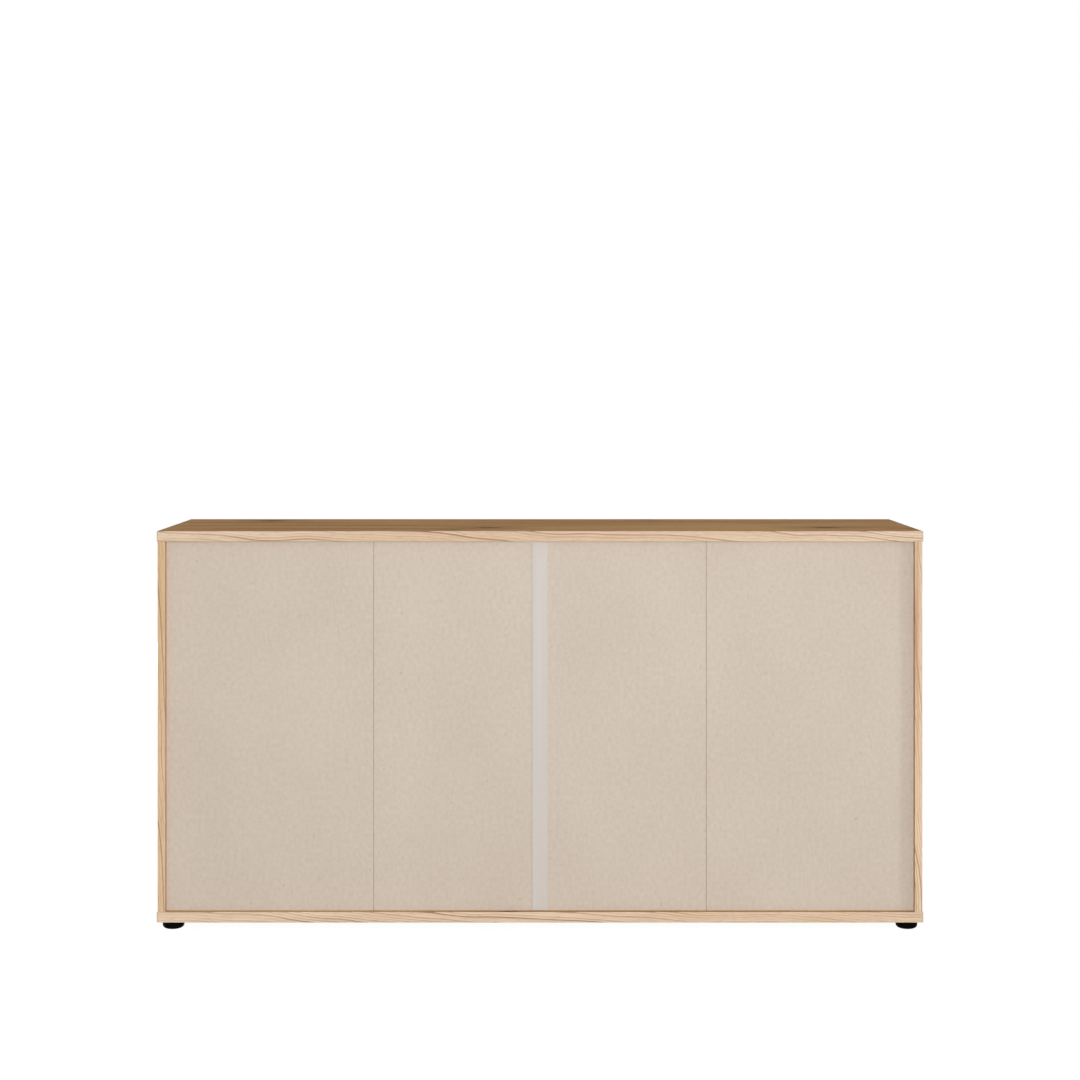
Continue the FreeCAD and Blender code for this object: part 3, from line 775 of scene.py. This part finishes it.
@dataclass(frozen=True)
class Metal:
    """Plated or cast metal with drawn lines or a cast skin."""

    name: str
    color: Color
    shade: Color
    lines: Triple
    roughness: float
    line_detail: float = 3.0
    line_depth: float = 0.00002
    line_low: float = 0.25
    line_high: float = 0.75
    smoother: float = 0.08
    rougher: float = 0.10
    clouds: Clouds = Clouds((40.0, 40.0, 40.0))
    tone: Span = Span(0.3, 0.7)

    def make(self) -> Material:
        """Build the material.

        Returns:
            The material.
        """
        graph = SurfaceGraph(self.name)
        spot = graph.place()
        lines = graph.noise(spot, Clouds(self.lines, self.line_detail))
        tone = graph.patches(spot, self.clouds, self.tone)
        color = graph.mix(tone, linear(self.color), linear(self.shade))
        smoothest = self.roughness - self.smoother
        roughest = self.roughness + self.rougher
        roughness = graph.spread(lines, Span(self.line_low, self.line_high, smoothest, roughest))
        graph.bump(lines, self.line_depth)
        return graph.finish(color, roughness, Metallic=1.0)


@dataclass(frozen=True)
class PaleMelamine:
    """Pale melamine with a faint linen print, for the boards of the drawer boxes."""

    name: str
    pale: Color = (226, 219, 208)
    dark: Color = (208, 199, 186)
    across_thread: float = 420.0
    along_thread: float = 18.0
    thread_share: float = 0.5
    tone: Span = Span(0.35, 0.65)
    roughness: Span = Span(0.3, 0.7, 0.40, 0.52)
    relief: float = 0.00003

    def make(self) -> Material:
        """Build the material.

        Returns:
            The material.
        """
        graph = SurfaceGraph(self.name)
        spot = graph.place()
        warp = graph.noise(spot, Clouds((self.across_thread, self.along_thread, self.along_thread)))
        weft = graph.noise(spot, Clouds((self.along_thread, self.across_thread, self.across_thread)))
        linen = graph.math("MULTIPLY", graph.math("ADD", warp, weft), self.thread_share)
        color = graph.mix(graph.spread(linen, self.tone), linear(self.pale), linear(self.dark))
        graph.bump(linen, self.relief)
        return graph.finish(color, graph.spread(linen, self.roughness))


@dataclass(frozen=True)
class Beech:
    """Turned beech with short dark flecks."""

    name: str
    pale: Color = (222, 190, 148)
    dark: Color = (200, 162, 118)
    fleck: Color = (166, 124, 84)
    fibres: Clouds = Clouds((500.0, 500.0, 60.0), detail=3.0)
    tone: Span = Span(0.3, 0.7)
    flecks: Clouds = Clouds((900.0, 900.0, 260.0))
    fleck_span: Span = Span(0.60, 0.72, 0.0, 0.7)
    roughness: Span = Span(0.3, 0.7, 0.50, 0.66)
    relief: float = 0.00005

    def make(self) -> Material:
        """Build the material.

        Returns:
            The material.
        """
        graph = SurfaceGraph(self.name)
        spot = graph.place()
        fibres = graph.noise(spot, self.fibres)
        color = graph.mix(graph.spread(fibres, self.tone), linear(self.pale), linear(self.dark))
        color = graph.mix(graph.patches(spot, self.flecks, self.fleck_span), color, linear(self.fleck))
        graph.bump(fibres, self.relief)
        return graph.finish(color, graph.spread(fibres, self.roughness))


class Finishes:
    """All the cabinet's finishes, made once and shared by its pieces.

    Each board's oak starts a step further along the pattern, and by turns nearer to its heart or
    further off.
    """

    board_step: float = 1.37
    turns: int = 5
    across_play: float = 0.2
    depth_play: float = 0.15

    def __init__(self) -> None:
        """Make every finish that more than one piece wears."""
        self.cut_count = 0
        self.fibreboard = Fibreboard("back_fibreboard").make()
        self.joint = Plastic(
            "joint_strip", color=(210, 203, 195), shade=(206, 198, 190), clouds=(60.0, 60.0, 2.0),
            roughness=0.50, gloss=0.2,
        ).make()
        self.tape = Plastic(
            "fold_paper", color=(214, 200, 182), shade=(198, 182, 163), clouds=(90.0, 90.0, 40.0),
            roughness=0.75, gloss=0.1,
        ).make()
        self.band_core = Plastic(
            "band_core", color=(204, 190, 170), shade=(192, 177, 156), clouds=even(200.0),
            roughness=0.62, gloss=0.1,
        ).make()
        self.foot = Plastic(
            "foot_black", color=(4, 3, 3), shade=(8, 7, 7), clouds=even(70.0),
            roughness=0.55, gloss=0.02, skin_depth=0.00006,
        ).make()
        self.powder = Plastic(
            "handle_black", color=(24, 24, 25), shade=(36, 35, 34), clouds=even(35.0),
            roughness=0.50, gloss=0.35, skin_per_metre=1600.0, skin_depth=0.00005,
        ).make()
        # Every rounded edge of the handles in a lighter, glossier black: a painted highlight.
        self.edge_highlight = Plastic(
            "handle_edge_highlight", color=(46, 45, 44), shade=(62, 60, 57), clouds=even(90.0),
            roughness=0.36, gloss=0.45, skin_per_metre=1600.0, skin_depth=0.00002,
        ).make()
        self.bush = Plastic(
            "bush_nylon", color=(238, 235, 226), shade=(224, 219, 206), clouds=even(120.0),
            roughness=0.40,
        ).make()
        self.catch = Plastic(
            "catch_brown", color=(128, 92, 60), shade=(104, 74, 48), clouds=even(80.0),
            roughness=0.46,
        ).make()
        self.steel = Metal(
            "plated_steel", color=(206, 208, 212), shade=(188, 190, 192), lines=(900.0, 30.0, 900.0),
            roughness=0.34,
        ).make()
        self.zinc = Metal(
            "cast_zinc", color=(178, 178, 180), shade=(156, 157, 160), lines=even(500.0),
            roughness=0.44,
        ).make()
        self.beech = Beech("dowel_beech").make()
        self.melamine = PaleMelamine("drawer_melamine").make()

    def oak(
        self, board: str, grain: Grain, middle: Vector, tones: OakTones = FACE_TONES, cut: Cut = FACE_CUT,
        skip: float = 0.0, knots: tuple[Knot, ...] = (),
    ) -> Material:
        """Oak decor for one board, each board cut from another place in the pattern.

        Args:
            board: The board's name.
            grain: How the board lies.
            middle: The board's middle.
            tones: Its colours.
            cut: How its pattern was sawn.
            skip: How much of the pattern is left out before it.
            knots: Its large knots.

        Returns:
            The board's own material.
        """
        along, across, deep = (middle[axis] for axis in grain.value)
        self.cut_count += 1
        turn = self.cut_count % self.turns - self.turns // 2
        shift = (
            self.board_step * self.cut_count + skip - along,
            cut.heart_across * (1.0 + self.across_play * turn) - across,
            cut.heart_depth * (1.0 + self.depth_play * turn) - deep,
        )
        return OakDecor(f"oak_{board}", grain, tones, cut, shift, knots).make()


# Pieces


def middle_of(node: str) -> Vector:
    """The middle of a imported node's box."""
    low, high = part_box(node)
    return (low + high) / 2


def wear(node: str, material: Material) -> str:
    """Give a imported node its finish, and say so."""
    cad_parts[node].material_slots[0].material = material
    return f"{node} wears {material.name}"


def corner_box(bm: Mesh, low: Vector, high: Vector) -> list[Edge]:
    """Add a box between two corners.

    Args:
        bm: The mesh that takes the box.
        low: Its lowest corner.
        high: Its highest corner.

    Returns:
        The box's twelve edges.
    """
    made = bmesh.ops.create_cube(bm, size=1.0)
    middle = (low + high) / 2
    size = high - low
    for vert in made["verts"]:
        vert.co = middle + Vector(spot * length for spot, length in zip(vert.co, size))
    return list(dict.fromkeys(edge for vert in made["verts"] for edge in vert.link_edges))


def soften(bm: Mesh, edges: list[Edge], radius: float, steps: int = 3) -> None:
    """Round the given edges of a mesh.

    Args:
        bm: The mesh.
        edges: The edges to round.
        radius: How far the rounding reaches.
        steps: How many flats make up the rounding.
    """
    circular = 0.5
    bmesh.ops.bevel(
        bm, geom=edges, offset=radius, offset_type="OFFSET", segments=steps, profile=circular,
        affect="EDGES", clamp_overlap=True,
    )


def piece(name: str, bm: Mesh, materials: Sequence[Material]) -> bpy.types.Object:
    """Turn a built mesh into an object with its materials.

    Args:
        name: The piece's name.
        bm: The built mesh, which is used up.
        materials: Its materials, in slot order.

    Returns:
        The object, linked into the scene.
    """
    mesh = bpy.data.meshes.new(name)
    bm.normal_update()
    bm.to_mesh(mesh)
    bm.free()
    for material in materials:
        mesh.materials.append(material)
    made = bpy.data.objects.new(name, mesh)
    bpy.context.scene.collection.objects.link(made)
    return made


def stand_in(made: bpy.types.Object, node: str, body: str) -> str:
    """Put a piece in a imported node's place.

    Args:
        made: The piece.
        node: The node that it stands for.
        body: The body that it rides on.

    Returns:
        A line that says so.
    """
    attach(made, body)
    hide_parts(node)
    return f"{made.name} stands for {node}"


@dataclass(frozen=True)
class BoardFinish:
    """The finishes of a board: its wide faces, the bands along it and the bands at its ends."""

    face: Material
    band: Material
    end: Material


@dataclass
class Board:
    """A flat board between two corners, with rounded edges and banded narrow sides."""

    name: str
    node: str
    body: str
    flat_axis: Axis
    end_axis: Axis
    edge_radius: float = 0.0008
    sharp_deg: float = 60.0
    face_normal: float = 0.95
    end_normal: float = 0.7
    hinge_radius: float = 0.0
    hinge_steps: int = 8

    def build(self, finish: BoardFinish, hinge: Side | None = None) -> str:
        """Build the board in its node's place.

        Args:
            finish: The finishes of its faces and bands.
            hinge: The side on which its back edge is rounded off to turn, if it turns.

        Returns:
            A line that says which board was built.
        """
        low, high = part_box(self.node)
        bm = bmesh.new()
        corner_box(bm, low, high)
        if hinge is not None:
            edge_x = high.x if hinge is Side.RIGHT else low.x
            turned = [edge for edge in bm.edges if self.runs_upright_at(edge, edge_x, high.y)]
            soften(bm, turned, self.hinge_radius, self.hinge_steps)
        sharp = [edge for edge in bm.edges if edge.calc_face_angle(0.0) > math.radians(self.sharp_deg)]
        soften(bm, sharp, self.edge_radius)
        bm.normal_update()
        for polygon in bm.faces:
            polygon.material_index = self.face_of(polygon.normal)
        made = piece(self.name, bm, (finish.face, finish.band, finish.end))
        return stand_in(made, self.node, self.body)

    def face_of(self, normal: Vector) -> BoardFace:
        """Tell which finish a polygon wears.

        Args:
            normal: The way the polygon looks.

        Returns:
            The finish.
        """
        if abs(normal[self.flat_axis]) > self.face_normal:
            return BoardFace.FACE
        return BoardFace.END if abs(normal[self.end_axis]) > self.end_normal else BoardFace.BAND

    @staticmethod
    def runs_upright_at(edge: Edge, x: float, y: float) -> bool:
        """Whether an edge is the upright one at that place."""
        spots = [vert.co for vert in edge.verts]
        return all(abs(spot.x - x) < SAME_PLACE and abs(spot.y - y) < SAME_PLACE for spot in spots)


@dataclass
class Handle:
    """A square bar on two posts, with rounded edges."""

    owner: str
    post_spacing: float = 0.128
    bar_radius: float = 0.0018
    bar_steps: int = 4
    post_radius: float = 0.0012
    post_sink: float = 0.001
    flat_normal: float = 0.999

    def build(self, finish: Material, highlight: Material) -> str:
        """Build the handle in its node's place.

        Args:
            finish: The handle's finish.
            highlight: The painted highlight of its rounded edges, a lighter, glossier black.

        Returns:
            A line that says which handle was built.
        """
        node = f"{self.owner}_handle"
        low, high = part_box(node)
        size = high - low
        length_axis = Axis.Z if size.z > size.x else Axis.X
        section = min(size.x, size.z)
        half = section / 2
        bm = bmesh.new()
        bar_high = high.copy()
        bar_high.y = low.y + section
        soften(bm, corner_box(bm, low, bar_high), self.bar_radius, self.bar_steps)
        middle = (low[length_axis] + high[length_axis]) / 2
        for side in (-1, 1):
            centre = middle + side * self.post_spacing / 2
            post_low = low.copy()
            post_high = high.copy()
            post_low[length_axis] = centre - half
            post_high[length_axis] = centre + half
            post_low.y = bar_high.y - self.post_sink
            edges = corner_box(bm, post_low, post_high)
            outward = [edge for edge in edges if abs((edge.verts[0].co - edge.verts[1].co).y) > half]
            soften(bm, outward, self.post_radius)
        bm.normal_update()
        # Rounded faces get the painted edge highlight, flat ones the plain black.
        for polygon in bm.faces:
            flat = max(abs(number) for number in polygon.normal) > self.flat_normal
            polygon.material_index = HandleFace.FLAT if flat else HandleFace.HIGHLIGHT_EDGE
        made = piece(f"{self.owner}_pull", bm, (finish, highlight))
        return stand_in(made, node, self.owner)


@dataclass
class Strip:
    """One edge band: where it lies, which way its grain runs, and which of its edges are rounded."""

    name: str
    low: Vector
    high: Vector
    grain: Grain
    tones: OakTones
    rounded: EdgeTest


# Sub-assemblies


@dataclass
class Assembly(ABC):
    """A sub-assembly that builds and dresses its own pieces."""

    finishes: Finishes

    @abstractmethod
    def dress(self) -> list[str]:
        """Build and dress the pieces, and give a line for each."""


@dataclass
class Carcass(Assembly):
    """The boards that stand still, their edge bands and the fittings that hold them together."""

    body: str = "carcass"
    band_radius: float = 0.0012
    top_skip: float = 0.6
    section_normal: float = 0.9

    def dress(self) -> list[str]:
        """Dress the boards and fittings, and build the shelves and edge bands.

        Returns:
            A line for each piece.
        """
        done = self.dress_panels()
        for side in Side:
            done += self.dress_uprights(side)
            done.append(self.build_shelf(side))
        done += self.dress_fittings()
        done += [self.build_strip(strip) for strip in self.panel_strips() + self.upright_strips()]
        return done

    def dress_panels(self) -> list[str]:
        """Dress the top and bottom panels.

        Returns:
            A line for each panel.
        """
        top = "top_panel"
        bottom = "bottom_panel"
        # The top wears a darker copy of the face oak: painted shade.
        top_oak = self.finishes.oak(
            top, Grain.LYING, middle_of(top), SHADED_TOP_TONES, TOP_CUT, self.top_skip, TOP_KNOTS
        )
        bottom_oak = self.finishes.oak(bottom, Grain.LYING, middle_of(bottom))
        return [wear(top, top_oak), wear(bottom, bottom_oak)]

    def dress_uprights(self, side: Side) -> list[str]:
        """Dress the side panel and the divider on one side.

        Args:
            side: The side.

        Returns:
            A line for each board.
        """
        done = []
        for board in ("side_panel", "divider"):
            node = f"{side}_{board}"
            done.append(wear(node, self.finishes.oak(node, Grain.UPRIGHT_ASIDE, middle_of(node))))
        return done

    def build_shelf(self, side: Side) -> str:
        """Build the shelf on one side.

        Args:
            side: The side.

        Returns:
            A line that says which shelf was built.
        """
        shelf = f"{side}_shelf"
        middle = middle_of(shelf)
        face = self.finishes.oak(shelf, Grain.LYING, middle)
        band = self.finishes.oak(f"{shelf}_edge", Grain.LEVEL_BEHIND, middle, LEVEL_BAND_TONES, BAND_CUT)
        board = Board(f"{shelf}_board", shelf, self.body, flat_axis=Axis.Z, end_axis=Axis.X)
        return board.build(BoardFinish(face, band, band))

    def dress_fittings(self) -> list[str]:
        """Dress what holds the boards, the doors and the drawers.

        Returns:
            A line for each kind of fitting.
        """
        fittings = {
            "cam_locks": self.finishes.zinc,
            "wood_dowels": self.finishes.beech,
            "pivot_bushes": self.finishes.bush,
            "door_catches": self.finishes.catch,
            "cam_bolts": self.finishes.steel,
            "shelf_pins": self.finishes.steel,
            "cabinet_rails": self.finishes.steel,
        }
        return [wear(node, material) for node, material in fittings.items()]

    def panel_strips(self) -> list[Strip]:
        """Lay out the bands round the top and bottom panels, of which those at the ends run through.

        Returns:
            The bands.
        """
        outer_low, outer_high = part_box("edge_bands")
        strips = []
        # The bottom panel's bands are painted paler, as painted light.
        for panel, tones in (("top_panel", LEVEL_BAND_TONES), ("bottom_panel", LIT_LOW_BAND_TONES)):
            low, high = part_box(panel)
            spans = {
                PanelEdge.LEFT: ((outer_low.x, low.x), (outer_low.y, outer_high.y)),
                PanelEdge.RIGHT: ((high.x, outer_high.x), (outer_low.y, outer_high.y)),
                PanelEdge.FRONT: ((low.x, high.x), (outer_low.y, low.y)),
                PanelEdge.REAR: ((low.x, high.x), (high.y, outer_high.y)),
            }
            rounded = {
                PanelEdge.LEFT: self.off_face(Axis.X, low.x),
                PanelEdge.RIGHT: self.off_face(Axis.X, high.x),
                PanelEdge.FRONT: self.long_on_face(Axis.X, outer_low.y),
                PanelEdge.REAR: self.long_on_face(Axis.X, outer_high.y),
            }
            for edge, ((x_low, x_high), (y_low, y_high)) in spans.items():
                at_end = edge in (PanelEdge.LEFT, PanelEdge.RIGHT)
                strips.append(Strip(
                    name=f"{panel}_{edge}_band",
                    low=Vector((x_low, y_low, low.z)),
                    high=Vector((x_high, y_high, high.z)),
                    grain=Grain.LEVEL_ASIDE if at_end else Grain.LEVEL_BEHIND,
                    tones=tones,
                    rounded=rounded[edge],
                ))
        return strips

    def upright_strips(self) -> list[Strip]:
        """Lay out the bands behind the side panels, and those before the side panels and dividers.

        Returns:
            The bands.
        """
        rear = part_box("edge_bands")[1].y
        strips = []
        for side in Side:
            panel_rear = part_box(f"{side}_side_panel")[1].y
            thick = rear - panel_rear
            rows = [("side_panel", f"{side}_rear_band", panel_rear, rear, rear)]
            for board in ("side_panel", "divider"):
                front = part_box(f"{side}_{board}")[0].y
                rows.append((board, f"{side}_{board}_front_band", front - thick, front, front - thick))
            for board, name, y_low, y_high, outer in rows:
                low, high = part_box(f"{side}_{board}")
                # Each side's bands carry that side's painted light and shade.
                strips.append(Strip(
                    name=name,
                    low=Vector((low.x, y_low, low.z)),
                    high=Vector((high.x, y_high, high.z)),
                    grain=Grain.UPRIGHT_BEHIND,
                    tones=SIDE_LIT_UPRIGHT_BAND_TONES[side],
                    rounded=self.long_on_face(Axis.Z, outer),
                ))
        return strips

    @staticmethod
    def off_face(axis: Axis, glued: float) -> EdgeTest:
        """Make a test for a band's edges that don't lie on its glued face.

        Args:
            axis: The axis that the glued face looks along.
            glued: Where the glued face lies on it.

        Returns:
            The test.
        """
        def test(first: Vector, second: Vector) -> bool:
            """Whether the edge is off the glued face."""
            return max(abs(first[axis] - glued), abs(second[axis] - glued)) > SAME_PLACE

        return test

    @staticmethod
    def long_on_face(along: Axis, outer: float) -> EdgeTest:
        """Make a test for the long edges on a band's outer face, which looks forward or back.

        Args:
            along: The axis that the band runs along.
            outer: Where the outer face lies on the Y axis.

        Returns:
            The test.
        """
        def test(first: Vector, second: Vector) -> bool:
            """Whether the edge is a long one on the outer face."""
            on_face = max(abs(first.y - outer), abs(second.y - outer)) < SAME_PLACE
            return on_face and abs(first[along] - second[along]) > SAME_PLACE

        return test

    def build_strip(self, strip: Strip) -> str:
        """Build one edge band.

        Args:
            strip: The band's layout.

        Returns:
            A line that says which band was built.
        """
        bm = bmesh.new()
        edges = corner_box(bm, strip.low, strip.high)
        outer = [edge for edge in edges if strip.rounded(edge.verts[0].co, edge.verts[1].co)]
        soften(bm, outer, self.band_radius)
        bm.normal_update()
        if strip.grain is Grain.LEVEL_ASIDE:
            for polygon in bm.faces:
                cut_through = abs(polygon.normal.y) > self.section_normal
                polygon.material_index = BandFace.CORE if cut_through else BandFace.DECOR
        middle = (strip.low + strip.high) / 2
        material = self.finishes.oak(strip.name, strip.grain, middle, strip.tones, BAND_CUT)
        made = piece(strip.name, bm, (material, self.finishes.band_core))
        return stand_in(made, "edge_bands", self.body)


@dataclass
class FoldingBack(Assembly):
    """The four back leaves, the tapes at their folds and the profile that joins them."""

    def dress(self) -> list[str]:
        """Dress the back.

        Returns:
            A line for each piece.
        """
        leaves = [f"{side}_{leaf}_back_leaf" for side in Side for leaf in ("outer", "inner")]
        done = [wear(leaf, self.finishes.fibreboard) for leaf in leaves]
        done.append(wear("fold_tapes", self.finishes.tape))
        done.append(wear("back_joint_profile", self.finishes.joint))
        return done


@dataclass
class Feet(Assembly):
    """The four low round feet."""

    def dress(self) -> list[str]:
        """Dress the feet, and give a line for each."""
        feet = [f"{end}_{side}_foot" for end in ("front", "rear") for side in Side]
        return [wear(foot, self.finishes.foot) for foot in feet]


@dataclass
class Door(Assembly):
    """A door on upper and lower pivot pins, with its handle and strike plate."""

    side: Side
    hinge_radius: float = 0.005

    def dress(self) -> list[str]:
        """Build the panel and the handle, and dress the fittings.

        Returns:
            A line for each piece.
        """
        owner = f"{self.side}_door"
        middle = middle_of(f"{owner}_panel")
        # The door's edge bands carry their side's painted light and shade.
        tones = SIDE_LIT_UPRIGHT_BAND_TONES[self.side]
        face = self.finishes.oak(f"{owner}_face", Grain.UPRIGHT_BEHIND, middle)
        band = self.finishes.oak(f"{owner}_edge", Grain.UPRIGHT_ASIDE, middle, tones, BAND_CUT)
        end = self.finishes.oak(f"{owner}_end", Grain.LYING, middle, LEVEL_BAND_TONES, BAND_CUT)
        panel = Board(
            f"{owner}_board", f"{owner}_panel", owner, flat_axis=Axis.Y, end_axis=Axis.Z,
            hinge_radius=self.hinge_radius,
        )
        done = [panel.build(BoardFinish(face, band, end), hinge=self.side)]
        done.append(Handle(owner).build(self.finishes.powder, self.finishes.edge_highlight))
        for fitting in ("handle_screws", "pivot_pins", "strike_plate"):
            done.append(wear(f"{owner}_{fitting}", self.finishes.steel))
        return done


@dataclass
class Drawer(Assembly):
    """A drawer: its front, handle, box and the moving parts of its runners."""

    level: Level

    def dress(self) -> list[str]:
        """Build the front and the handle, and dress the box and the runners.

        Returns:
            A line for each piece.
        """
        owner = f"{self.level}_drawer"
        middle = middle_of(f"{owner}_front")
        face = self.finishes.oak(f"{owner}_face", Grain.LEVEL_BEHIND, middle)
        band = self.finishes.oak(f"{owner}_edge", Grain.LYING, middle, LEVEL_BAND_TONES, BAND_CUT)
        end = self.finishes.oak(f"{owner}_end", Grain.UPRIGHT_ASIDE, middle, LEVEL_BAND_TONES, BAND_CUT)
        front = Board(f"{owner}_front_board", f"{owner}_front", owner, flat_axis=Axis.Y, end_axis=Axis.X)
        done = [front.build(BoardFinish(face, band, end))]
        done.append(Handle(owner).build(self.finishes.powder, self.finishes.edge_highlight))
        for board in ("sides", "back"):
            done.append(wear(f"{owner}_{board}", self.finishes.melamine))
        done.append(wear(f"{owner}_base", self.finishes.fibreboard))
        for fitting in ("handle_screws", "rails", "ball_cages"):
            done.append(wear(f"{owner}_{fitting}", self.finishes.steel))
        return done


# Floor, light and camera


@dataclass(frozen=True)
class Lamp:
    """A square soft light."""

    name: str
    place: Triple
    target: Triple
    side: float
    watts: float
    shines: bool = True


@dataclass(frozen=True)
class PhotoView:
    """The photograph's view, measured on its square frame of pixels."""

    frame_px: float = 1080.0
    focal_px: float = 1955.0
    horizon_px: float = 396.45
    distance: float = 4.079
    height: float = 1.115
    level_deg: float = 90.0
    turned_deg: float = 180.0
    sensor_mm: float = 36.0


@dataclass
class Studio:
    """The floor, the light and the camera."""

    view: PhotoView = PhotoView()
    floor_half: float = 60.0
    sky_light: float = 0.40
    floor_glow: float = 0.96
    floor_tint: float = 0.12
    floor_white: float = 0.55

    lamps: tuple[Lamp, ...] = (
        Lamp("key", place=(-4.40, 1.98, 1.00), target=(0.0, 0.2, 0.45), side=0.75, watts=40.0),
        Lamp("fill", place=(0.0, 4.9, 1.10), target=(0.0, 0.2, 0.42), side=1.6, watts=122.0),
        Lamp(
            "front", place=(1.4, -4.6, 0.85), target=(0.0, -0.2, 0.42), side=1.6, watts=115.0,
            shines=False,
        ),
        Lamp(
            "end", place=(4.6, -0.9, 0.70), target=(0.8, 0.0, 0.42), side=1.2, watts=70.0,
            shines=False,
        ),
    )

    def set_up(self) -> None:
        """Make the whole studio."""
        bpy.context.scene.view_settings.view_transform = "Standard"
        self.make_world()
        self.make_floor()
        for lamp in self.lamps:
            self.make_lamp(lamp)
        self.make_camera()

    def make_world(self) -> None:
        """White where it is seen, and a soft light from all round."""
        world = bpy.data.worlds.new("studio_world")
        bpy.context.scene.world = world
        world.use_nodes = True
        graph = Graph(world.node_tree)
        background = graph.tree.nodes["Background"]
        strength = graph.node("ShaderNodeMapRange", graph.seen_directly(), 0.0, 1.0, self.sky_light, 1.0)
        graph.feed(background.inputs["Color"], grey(1.0))
        graph.feed(background.inputs["Strength"], strength.outputs[0])

    def make_floor(self) -> None:
        """A wide white floor that keeps a faint shadow."""
        bm = bmesh.new()
        bmesh.ops.create_grid(bm, x_segments=1, y_segments=1, size=self.floor_half)
        graph = SurfaceGraph("studio_floor")
        graph.tree.nodes.remove(graph.shader)
        plain = graph.node("ShaderNodeBsdfDiffuse", grey(self.floor_white))
        tint = graph.node("ShaderNodeBsdfDiffuse", grey(self.floor_tint))
        glow = graph.node("ShaderNodeEmission", grey(1.0), self.floor_glow)
        shown = graph.node("ShaderNodeAddShader", tint.outputs[0], glow.outputs[0])
        seen = graph.seen_directly()
        choice = graph.node("ShaderNodeMixShader", seen, plain.outputs[0], shown.outputs[0])
        graph.feed(graph.tree.nodes["Material Output"].inputs["Surface"], choice.outputs[0])
        piece("studio_floor", bm, (graph.material,))

    @staticmethod
    def make_lamp(lamp: Lamp) -> None:
        """Hang one soft light and aim it.

        Args:
            lamp: The light.
        """
        data = bpy.data.lights.new(lamp.name, "AREA")
        data.shape = "SQUARE"
        data.size = lamp.side
        data.energy = lamp.watts
        hung = bpy.data.objects.new(lamp.name, data)
        hung.location = lamp.place
        hung.visible_glossy = lamp.shines
        aim = Vector(lamp.target) - Vector(lamp.place)
        hung.rotation_euler = aim.to_track_quat("-Z", "Y").to_euler()
        bpy.context.scene.collection.objects.link(hung)

    def make_camera(self) -> None:
        """Stand the camera level behind the cabinet, where the photograph was taken from."""
        view = self.view
        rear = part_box("edge_bands")[1].y
        data = bpy.data.cameras.new("photo_camera")
        data.sensor_width = view.sensor_mm
        data.lens = view.focal_px / view.frame_px * view.sensor_mm
        data.shift_y = (view.horizon_px - view.frame_px / 2) / view.frame_px
        camera = bpy.data.objects.new("photo_camera", data)
        camera.location = (0.0, rear + view.distance, view.height)
        camera.rotation_euler = (math.radians(view.level_deg), 0.0, math.radians(view.turned_deg))
        bpy.context.scene.collection.objects.link(camera)
        bpy.context.scene.camera = camera


def main() -> None:
    """Dress the cabinet, report each piece and set up the studio."""
    logging.basicConfig(level=logging.INFO, format="%(name)s: %(message)s")
    finishes = Finishes()
    assemblies: list[Assembly] = [Carcass(finishes), FoldingBack(finishes), Feet(finishes)]
    assemblies += [Door(finishes, side) for side in Side]
    assemblies += [Drawer(finishes, level) for level in Level]
    for assembly in assemblies:
        for line in assembly.dress():
            log.info(line)
    Studio().set_up()


if __name__ == "__main__":
    main()
